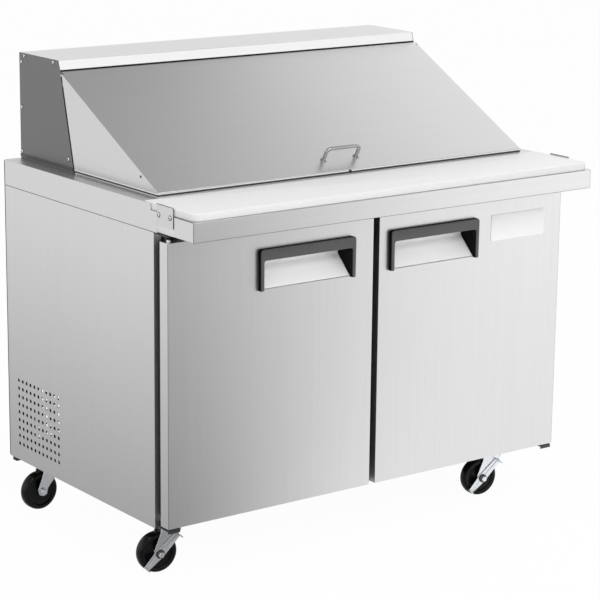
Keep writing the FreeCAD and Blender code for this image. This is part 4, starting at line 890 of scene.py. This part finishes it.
class TABLE_OT_shade_lines_and_trims(bpy.types.Operator):
    """Makes the painted shade lines, the shelf's side skirts, the lid's hem, the dark rear blocks
    and the pin caps
    """
    bl_idname = "table.seams"
    bl_label = "Shade lines and small trims"

    def execute(self, context):
        shelf, band, tabs = span("board_shelf"), span("top_frame"), span("shelf_brackets")
        ends, lid, pad = span("hood_ends"), span("lid_skin"), span("lid_gasket")
        fixed, skirts, rear_blocks, flanges = [], [], [], []
        for side, sign in ((0, -1), (1, 1)):
            x = shelf[side][0] + sign * 0.0001
            hood = ends[side][0]
            front, under, top = shelf[0][1], shelf[0][2], shelf[1][2]
            tab, tab_low, tab_back, tab_top = tabs[0][1], tabs[0][2], tabs[1][1], tabs[1][2]
            band_low, band_top, band_back = band[0][2], band[1][2], band[1][1]
            # The tubes below are thin black lines painted as the shade along the shelf's, brackets'
            # and band's edges and up the hood end; those on the left are thicker.
            line = 0.0006 if sign < 0 else 0.0002
            heel = np.array([hood - sign * 0.0005, ends[0][1] - 0.0003, ends[0][2] + 0.006])
            crest = np.array([hood - sign * 0.0005, 0.2245, 1.148])
            for start, end, radius in (
                    ((x, front, under), (x, front, top), line),
                    ((x, front, top), (x, tab, top), line),
                    ((0, front, under), (x, front, under), 0.00035),
                    ((x, tab - 0.001, top - 0.001), (x, tab - 0.001, tab_low + 0.004), 0.0013),
                    ((x, tab, tab_top), (x, tab, top), 0.0006),
                    ((x, tab, tab_top), (x, tab_back, tab_top), 0.0008),
                    ((x, band[0][1], band_low), (x, band_back, band_low), 0.0006),
                    ((x, band_back, 0.130), (x, band_back, band_top - 0.006), 0.0008)):
                fixed.append(tube([start, end], radius, 8))
            fixed.append(tube([heel, heel + (crest - heel) * 0.84], 0.0011, 8))
            skirt = rectangle((tab - 0.002, tab_back), (under, tab_low + 0.002))
            skirts.append(slab(skirt, 0.0003, *sorted((x, x - sign * 0.0015)), 0.0002, SIDEWAYS, 2))
            flange = rectangle((ends[0][1] + 0.003, ends[1][1]), (0.9086, 0.917))
            flanges.append(slab(flange, 0.001, *sorted((hood, hood + sign * 0.0012)), 0.0003,
                                SIDEWAYS, 2))
            # Dark blocks at the rear of the base, one below each side.
            foot = rectangle(sorted((x - sign * 0.003, x - sign * 0.023)), (0.398, 0.418))
            rear_blocks.append(slab(foot, 0.003, 0.116, 0.1275, 0.001, UPRIGHT, 3))
        # One black piece of painted shade lines.
        piece("Cabinet_seams", joined(*fixed), "root", "black_seal")
        piece("Shelf_skirts", joined(*skirts), "root", "stainless")
        # The flanges are nearly black steel, which paints the shade at the hood's foot.
        piece("Hood_flanges", joined(*flanges), "root", "stainless", material="flange_steel")
        piece("Rear_feet", joined(*rear_blocks), "root", "black_seal")
        self.lid(lid, pad)
        for hand, sign in (("left", -1), ("right", 1)):
            low, high = span(hand + "_door_skin")
            x = low[0] if sign < 0 else high[0]
            # A thin black line down the door's outer edge, painted as the shade of the gap there;
            # thicker on the left door.
            edge = [(x, low[1], low[2] + 0.001), (x, low[1], high[2] - 0.001)]
            piece(hand.title() + "_door_seam", tube(edge, 0.0005 if sign < 0 else 0.0002, 8),
                  hand + "_door", "black_seal")
            pin = JOINTS[hand + "_door_hinge"]["pos_m"]
            cap = [(0, 0), (0.0048, 0), (0.0048, 0.004), (0.0040, 0.0066), (0, 0.0072)]
            piece(hand.title() + "_pin_cap", spun(cap, (pin[0], pin[1] - 0.006, high[2]), UP, 24),
                  hand + "_door", "zinc")
        return {"FINISHED"}

    def lid(self, lid, pad):
        """The hem round the lid's foot, a black strip painted as the shade of the gap below it, and
        a rivet on each side.
        """
        y, z = pad[0][1] - 0.0004, (pad[0][2] + pad[1][2]) / 2
        fold, rear = z + 0.0036, 0.155
        (left, front, low), right = lid[0], lid[1][0]
        hem = bent([(left, rear, fold), (left, front, fold), (right, front, fold),
                    (right, rear, fold)], 0.003, 5)
        # The hem takes the hood's lighter steel: painted light.
        piece("Lid_hem", tube(hem, 0.0019, 10), "lid", "stainless", material="hood_steel")
        rivet = [(0, -0.0005), (0.0034, -0.0005), (0.0030, 0.0008), (0, 0.0014)]
        rivets = [spun(rivet, (x, front + 0.074, low + 0.033), (np.sign(x), 0, 0), 20)
                  for x in (left, right)]
        piece("Lid_rivets", joined(*rivets), "lid", "black_steel")
        # Black tubes along the gasket's front and the lid's sides paint the shade of the gap.
        gaps = [tube(path, 0.0016, 8) for path in (
            [(pad[0][0], y, z), (pad[1][0], y, z)], [(left, y, z), (left, 0.150, z)],
            [(right, y, z), (right, 0.150, z)])]
        piece("Lid_seam", joined(*gaps), "lid", "black_seal")


class TABLE_OT_casters(bpy.types.Operator):
    """Makes the wheels, forks, brake levers and top plates of the four casters"""
    bl_idname = "table.casters"
    bl_label = "Casters"

    def execute(self, context):
        base = span("caster_plates")[1][2]
        plates = []
        for corner in CORNERS:
            spin = JOINTS[corner + "_wheel_spin"]
            hub, axle = np.array(spin["pos_m"], float), np.array(spin["axis"], float)
            pivot = np.array([*JOINTS[corner + "_swivel"]["pos_m"][:2], 0.0])
            trail = (hub - pivot) * (1, 1, 0)
            back = trail / np.linalg.norm(trail)
            name = corner.title()
            piece(name + "_wheel", self.wheel(hub, axle), corner + "_wheel", "wheel_black",
                  (corner + "_caster_wheel",))
            piece(name + "_fork", self.fork(pivot, hub, axle, back, trail), corner + "_swivel",
                  "zinc", (corner + "_caster_fork",))
            if corner.startswith("front"):
                piece(name + "_lever", self.lever(hub, axle, back), corner + "_brake", "zinc",
                      (corner + "_brake_pedal",))
                washer, nut = self.nut(hub, axle)
                # The washer is black: painted shade round the nut.
                piece(name + "_washer", washer, corner + "_brake", "black_steel")
                piece(name + "_nut", nut, corner + "_swivel", "zinc")
            x, y = pivot[:2]
            outline = rectangle((x - 0.033, x + 0.033), (y - 0.046, y + 0.046))
            plates.append(slab(outline, 0.008, base - SHEET, base, 0.0008, UPRIGHT, 4))
            bolt = [(0, 0), (0.0065, 0), (0.0065, 0.004), (0.0055, 0.005), (0, 0.005)]
            plates += [spun(bolt, (x + dx, y + dy, base - SHEET), -UP, 6)
                       for dx in (-0.024, 0.024) for dy in (-0.036, 0.036)]
        piece("Caster_plates", joined(*plates), "root", "zinc", ("caster_plates",))
        return {"FINISHED"}

    def wheel(self, hub, axle):
        """Half section of a wheel: crowned tread with round shoulders, a groove below the rim, a
        dished web and a raised hub, mirrored and turned about the axle."""
        w = 0.0145
        half = [(0.0052, w + 0.001), (0.0118, w + 0.001), (0.0138, w - 0.001),
                (0.0146, w - 0.0045), (0.019, w - 0.0062), (0.030, w - 0.0058),
                (0.0352, w - 0.0046), (0.0372, w - 0.001), (0.0388, w), (0.0430, w),
                (0.0462, w - 0.0014), (0.0486, w - 0.0042), (0.0497, w - 0.0078), (0.050, 0.0)]
        profile = half + [(radius, -height) for radius, height in half[-2::-1]]
        return lathe(profile, hub, axle, 64)

    def fork(self, pivot, hub, axle, back, trail):
        """Two pressed legs that taper to the axle, the crown, the ball race and the axle bolt."""
        crown = span("caster_plates")[0][2] - 0.012
        inside = axes(pivot, back, UP, axle)
        t = float(np.linalg.norm(trail))
        outline = [(-0.026, crown), (-0.024, crown - 0.012), (t - 0.016, 0.058),
                   (t - 0.011, 0.0395), (t + 0.011, 0.0395), (t + 0.015, 0.056),
                   (0.029, crown - 0.014), (0.026, crown)]
        radii = (0.002, 0.008, 0.012, 0.009, 0.009, 0.012, 0.010, 0.002)
        legs = [slab(outline, radii, low, low + SHEET, 0.0009, inside, 4)
                for low in (-FORK_HALF - SHEET, FORK_HALF)]
        rims = []
        for side in (-1, 1):
            across = side * (FORK_HALF + 0.0024)
            path = bent([(-0.0245, crown - 0.006, across), (t - 0.0145, 0.058, across),
                         (t - 0.010, 0.041, across)], 0.008, 5)
            rims.append(tube(inside(path), 0.0013, 8))
        reach = FORK_HALF + SHEET
        top = slab(rectangle((-0.026, 0.026), (-reach, reach)), 0.005, crown - 0.0005,
                   crown + SHEET, 0.0011, axes(pivot, back, axle, UP), 4)
        race = [(0, 0.0), (0.022, 0.0), (0.0262, 0.0016), (0.0268, 0.0044), (0.0245, 0.0058),
                (0.0262, 0.0072), (0.0250, 0.0086), (0, 0.0086)]
        bowl = spun(race, pivot + UP * (crown + SHEET), UP, 40)
        reach += 0.0025
        head = [(0.0048, reach), (0.0082, reach), (0.0082, reach + 0.0038),
                (0.0072, reach + 0.0048), (0, reach + 0.0048)]
        bolt = spun([(radius, -height) for radius, height in head[::-1]] + head, hub, axle, 6)
        washers = [spun([(0, side * reach), (0.0105, side * reach),
                         (0.0105, side * (reach - 0.0016)), (0, side * (reach - 0.0016))],
                        hub, axle, 28) for side in (-1, 1)]
        return joined(*legs, *rims, top, bowl, bolt, *washers)

    def lever(self, hub, axle, back):
        """The stamped brake lever: a bar through the axle with a folded lock end below, a
        turned-out paddle above and a pressed rib along it."""
        place = axes(hub, back, UP, axle)
        low = -0.0229
        high = low + 0.0024
        bar = [(0.0300, -0.0375), (0.0405, -0.0270), (0.0125, 0.0055), (-0.0395, 0.0485),
               (-0.0520, 0.0370), (-0.0085, -0.0085)]
        plate = slab(bar, (0.002, 0.003, 0.010, 0.002, 0.002, 0.010), low, high, 0.0008, place, 5)
        paddle = slab([(-0.0405, 0.0475), (-0.0425, 0.0500), (-0.0545, 0.0390), (-0.0520, 0.0370)],
                      0.0006, -0.0375, high, 0.0006, place, 3)
        hook = slab([(0.0300, -0.0375), (0.0405, -0.0270), (0.0416, -0.0284), (0.0311, -0.0389)],
                    0.0004, -0.0300, high, 0.0005, place, 3)
        line = bent([(0.0325, -0.030, low), (0.002, 0.001, low), (-0.044, 0.041, low)], 0.006, 5)
        return joined(plate, paddle, hook, tube(place(line), 0.0016, 8))

    def nut(self, hub, axle):
        """The spring washer over the brake lever, painted black as the shade round the nut, and the
        axle nut that holds it.
        """
        foot = -0.0252
        washer = [(0, foot), (0.0112, foot), (0.0112, foot + 0.0016), (0, foot + 0.0016)]
        nut = [(0, -0.0335), (0.0066, -0.0335), (0.0080, -0.0322), (0.0080, foot - 0.0001),
               (0, foot - 0.0001)]
        return spun(washer, hub, axle, 28), spun(nut, hub, axle, 6)


class TABLE_OT_pans(bpy.types.Operator):
    """Makes the deep-drawn food pans"""
    bl_idname = "table.pans"
    bl_label = "Food pans"

    def execute(self, context):
        shape = context.scene.table_shape
        low, high = span("food_pans")
        x, y = (np.linspace(low[k] + PAN_HALF[k], high[k] - PAN_HALF[k], count)
                for k, count in ((0, 6), (1, 3)))
        tubs = [self.tub((column, row, high[2]), shape) for row in y for column in x]
        piece("Food_pans", joined(*tubs), "root", "pan_steel", ("food_pans",), 50)
        return {"FINISHED"}

    def tub(self, centre, shape):
        """One pan as nested rounded rectangles (half length, half width, height, corner): out over
        the rim, down the tapered inside to a round-edged floor, and back up the outside."""
        rows = [(0.0875, 0.0805, -0.0020, 0.026), (0.0880, 0.0810, -0.0008, 0.027),
                (0.0868, 0.0798, 0.0, 0.026), (0.0800, 0.0730, 0.0, 0.024),
                (0.0786, 0.0716, -0.0012, 0.023), (0.0780, 0.0710, -0.004, 0.023),
                (0.0715, 0.0645, -0.088, 0.020), (0.0695, 0.0625, -0.0955, 0.018),
                (0.0640, 0.0570, -0.0988, 0.014)]
        shell = [(0.0645, 0.0575, -0.1000, 0.014), (0.0705, 0.0635, -0.0962, 0.018),
                 (0.0725, 0.0655, -0.088, 0.020), (0.0790, 0.0720, -0.004, 0.023),
                 (0.0795, 0.0725, -0.0020, 0.024)]
        loops = []
        for a, b, z, corner in rows + shell + rows[:1]:
            flat = rounded(rectangle((-a, a), (-b, b)), corner, 0.0, shape.steps)
            loops.append(np.column_stack([flat, np.full(len(flat), z)]))
        loops = np.array(loops) + np.array(centre)
        points, faces = skin(loops, capped=False)
        count = loops.shape[1]
        inner, under = len(rows) - 1, len(rows)
        ring = range(count)
        faces = [face for face in faces
                 if (min(face) // count, max(face) // count) != (inner, under)]
        faces += [[inner * count + i for i in ring], [under * count + i for i in ring][::-1]]
        return points, faces


class TABLE_OT_inside(bpy.types.Operator):
    """Makes the wire shelves, fans and compressor"""
    bl_idname = "table.inside"
    bl_label = "Inside and machine bay"

    def execute(self, context):
        low, high = span("wire_shelves")
        centre = (low[0] + high[0]) / 2
        gap = 0.038
        wires = []
        for x0, x1 in ((low[0], centre - gap), (centre + gap, high[0])):
            z = low[2] + 0.003
            for y in (low[1] + 0.003, (low[1] + high[1]) / 2, high[1] - 0.003):
                wires.append(tube([(x0, y, z), ((x0 + x1) / 2, y, z), (x1, y, z)], 0.003, 10))
            for x in np.linspace(x0 + 0.002, x1 - 0.002, 13):
                wires.append(tube(bent([(x, low[1], z - 0.002), (x, low[1] + 0.001, z + 0.0039),
                                        (x, high[1] - 0.001, z + 0.0039), (x, high[1], z - 0.002)],
                                       0.0008, 3), 0.0015, 8))
        piece("Wire_shelves", joined(*wires), "root", "shelf_wire", ("wire_shelves",))
        for name in ("evaporator_fan", "condenser_fan"):
            self.fan(name)
        self.compressor()
        return {"FINISHED"}

    def fan(self, name):
        """A fan: a cupped hub and blades whose pitch falls from root to tip. A blade's surface is a
        sheet over radius and chord: y = chord * sin(pitch), angle = chord * cos(pitch) / radius."""
        middle = np.array(JOINTS[name + "_spin"]["pos_m"], float)
        low, high = span(name)
        radius = (high[2] - low[2]) / 2 - 0.001
        depth = high[1] - low[1]
        cup = [(0.0032, -0.008), (0.014, -0.009), (0.017, -0.006), (0.018, 0.006), (0.016, 0.009),
               (0.0032, 0.009)]
        hub = lathe(cup, middle, (0, 1, 0), 36)
        r = np.linspace(0.014, radius, 9)[:, None]
        c = np.linspace(-1, 1, 9)[None, :]
        chord = (0.30 * radius * (0.75 + 0.5 * (r - 0.014) / radius)) * c
        pitch = np.radians(34 - 14 * (r - 0.014) / radius)
        y = np.clip(chord * np.sin(pitch), -depth / 2 + 0.002, depth / 2 - 0.002)
        turn = chord * np.cos(pitch) / r * 0.9
        parts = [hub]
        for number in range(FAN_BLADES):
            a = turn + 2 * math.pi * number / FAN_BLADES
            face = np.stack([r * np.cos(a), y + 0 * a, r * np.sin(a)], -1)
            top, under = face + (0, 0.0009, 0), face - (0, 0.0009, 0)
            points, faces = joined(skin(top, False, False), skin(under[:, ::-1], False, False),
                                   skin(np.array([border(under), border(top)]), True, False))
            parts.append((points + middle, faces))
        piece(name.title(), joined(*parts), name, "fan_plastic", (name,), 50)

    def compressor(self):
        """The sealed can: a bulged shell with its weld flange, a foot plate on rubber grommets and
        the start relay's box."""
        low, high = span("compressor")
        x, y = (low[0] + high[0]) / 2, (low[1] + high[1]) / 2
        tall = high[2] - low[2] - 0.012
        t = np.linspace(0, math.pi / 2, 8)
        r, flange = 0.071, 0.0745
        profile = [(0, 0.0)] + [(r * math.sin(a) ** 0.6, 0.03 * (1 - math.cos(a))) for a in t[1:]]
        profile += [(r, tall * 0.52), (flange, tall * 0.53), (flange, tall * 0.56),
                    (r, tall * 0.57)]
        profile += [(r * max(math.cos(a), 0.0) ** 0.6, tall - 0.036 * (1 - math.sin(a)))
                    for a in t[:-1]] + [(0.0, tall)]
        can = spun(profile, (x, y, low[2] + 0.012), UP, 48)
        foot = slab(rectangle((low[0], high[0]), (y - 0.062, y + 0.062)), 0.012, low[2] + 0.009,
                    low[2] + 0.013, 0.001, UPRIGHT, 5)
        grommet = [(0, 0), (0.009, 0), (0.009, 0.003), (0.007, 0.0045), (0.009, 0.006),
                   (0.009, 0.009), (0, 0.009)]
        pads = [spun(grommet, (x + dx, y + dy, low[2]), UP, 20)
                for dx in (-0.078, 0.078) for dy in (-0.050, 0.050)]
        box = slab(rectangle((x - 0.025, x + 0.025), (low[2] + 0.045, low[2] + 0.095)), 0.005,
                   -y + 0.058, -y + 0.0775, 0.002, FACING, 4)
        piece("Compressor", joined(can, foot, *pads, box), "root", "black_steel", ("compressor",))


class TABLE_PT_panel(bpy.types.Panel):
    """Lists the prep table's settings and the operators that make its pieces"""
    bl_label = "Prep table"
    bl_idname = "TABLE_PT_panel"
    bl_space_type = "VIEW_3D"
    bl_region_type = "UI"
    bl_category = "Prep table"

    def draw(self, context):
        for group in settings():
            column = self.layout.column(align=True)
            for name in group.__annotations__:
                column.prop(group, name)
        for operator in OPERATORS:
            self.layout.operator(operator.bl_idname)


GROUPS = {"table_finish": FinishSettings, "table_shape": ShapeSettings,
          "table_stage": StageSettings}
OPERATORS = (TABLE_OT_stage, TABLE_OT_finishes, TABLE_OT_sheets, TABLE_OT_board,
             TABLE_OT_handles, TABLE_OT_seals, TABLE_OT_nameplate, TABLE_OT_lid_parts,
             TABLE_OT_screws, TABLE_OT_shade_lines_and_trims, TABLE_OT_casters, TABLE_OT_pans, TABLE_OT_inside)


def register():
    for kind in (*GROUPS.values(), *OPERATORS, TABLE_PT_panel):
        bpy.utils.register_class(kind)
    for name, kind in GROUPS.items():
        setattr(bpy.types.Scene, name, PointerProperty(type=kind))


def unregister():
    for name in GROUPS:
        delattr(bpy.types.Scene, name)
    for kind in reversed((*GROUPS.values(), *OPERATORS, TABLE_PT_panel)):
        bpy.utils.unregister_class(kind)


def main():
    register()
    for operator in OPERATORS:
        group, name = operator.bl_idname.split(".")
        getattr(getattr(bpy.ops, group), name)()


if __name__ == "__main__":
    main()
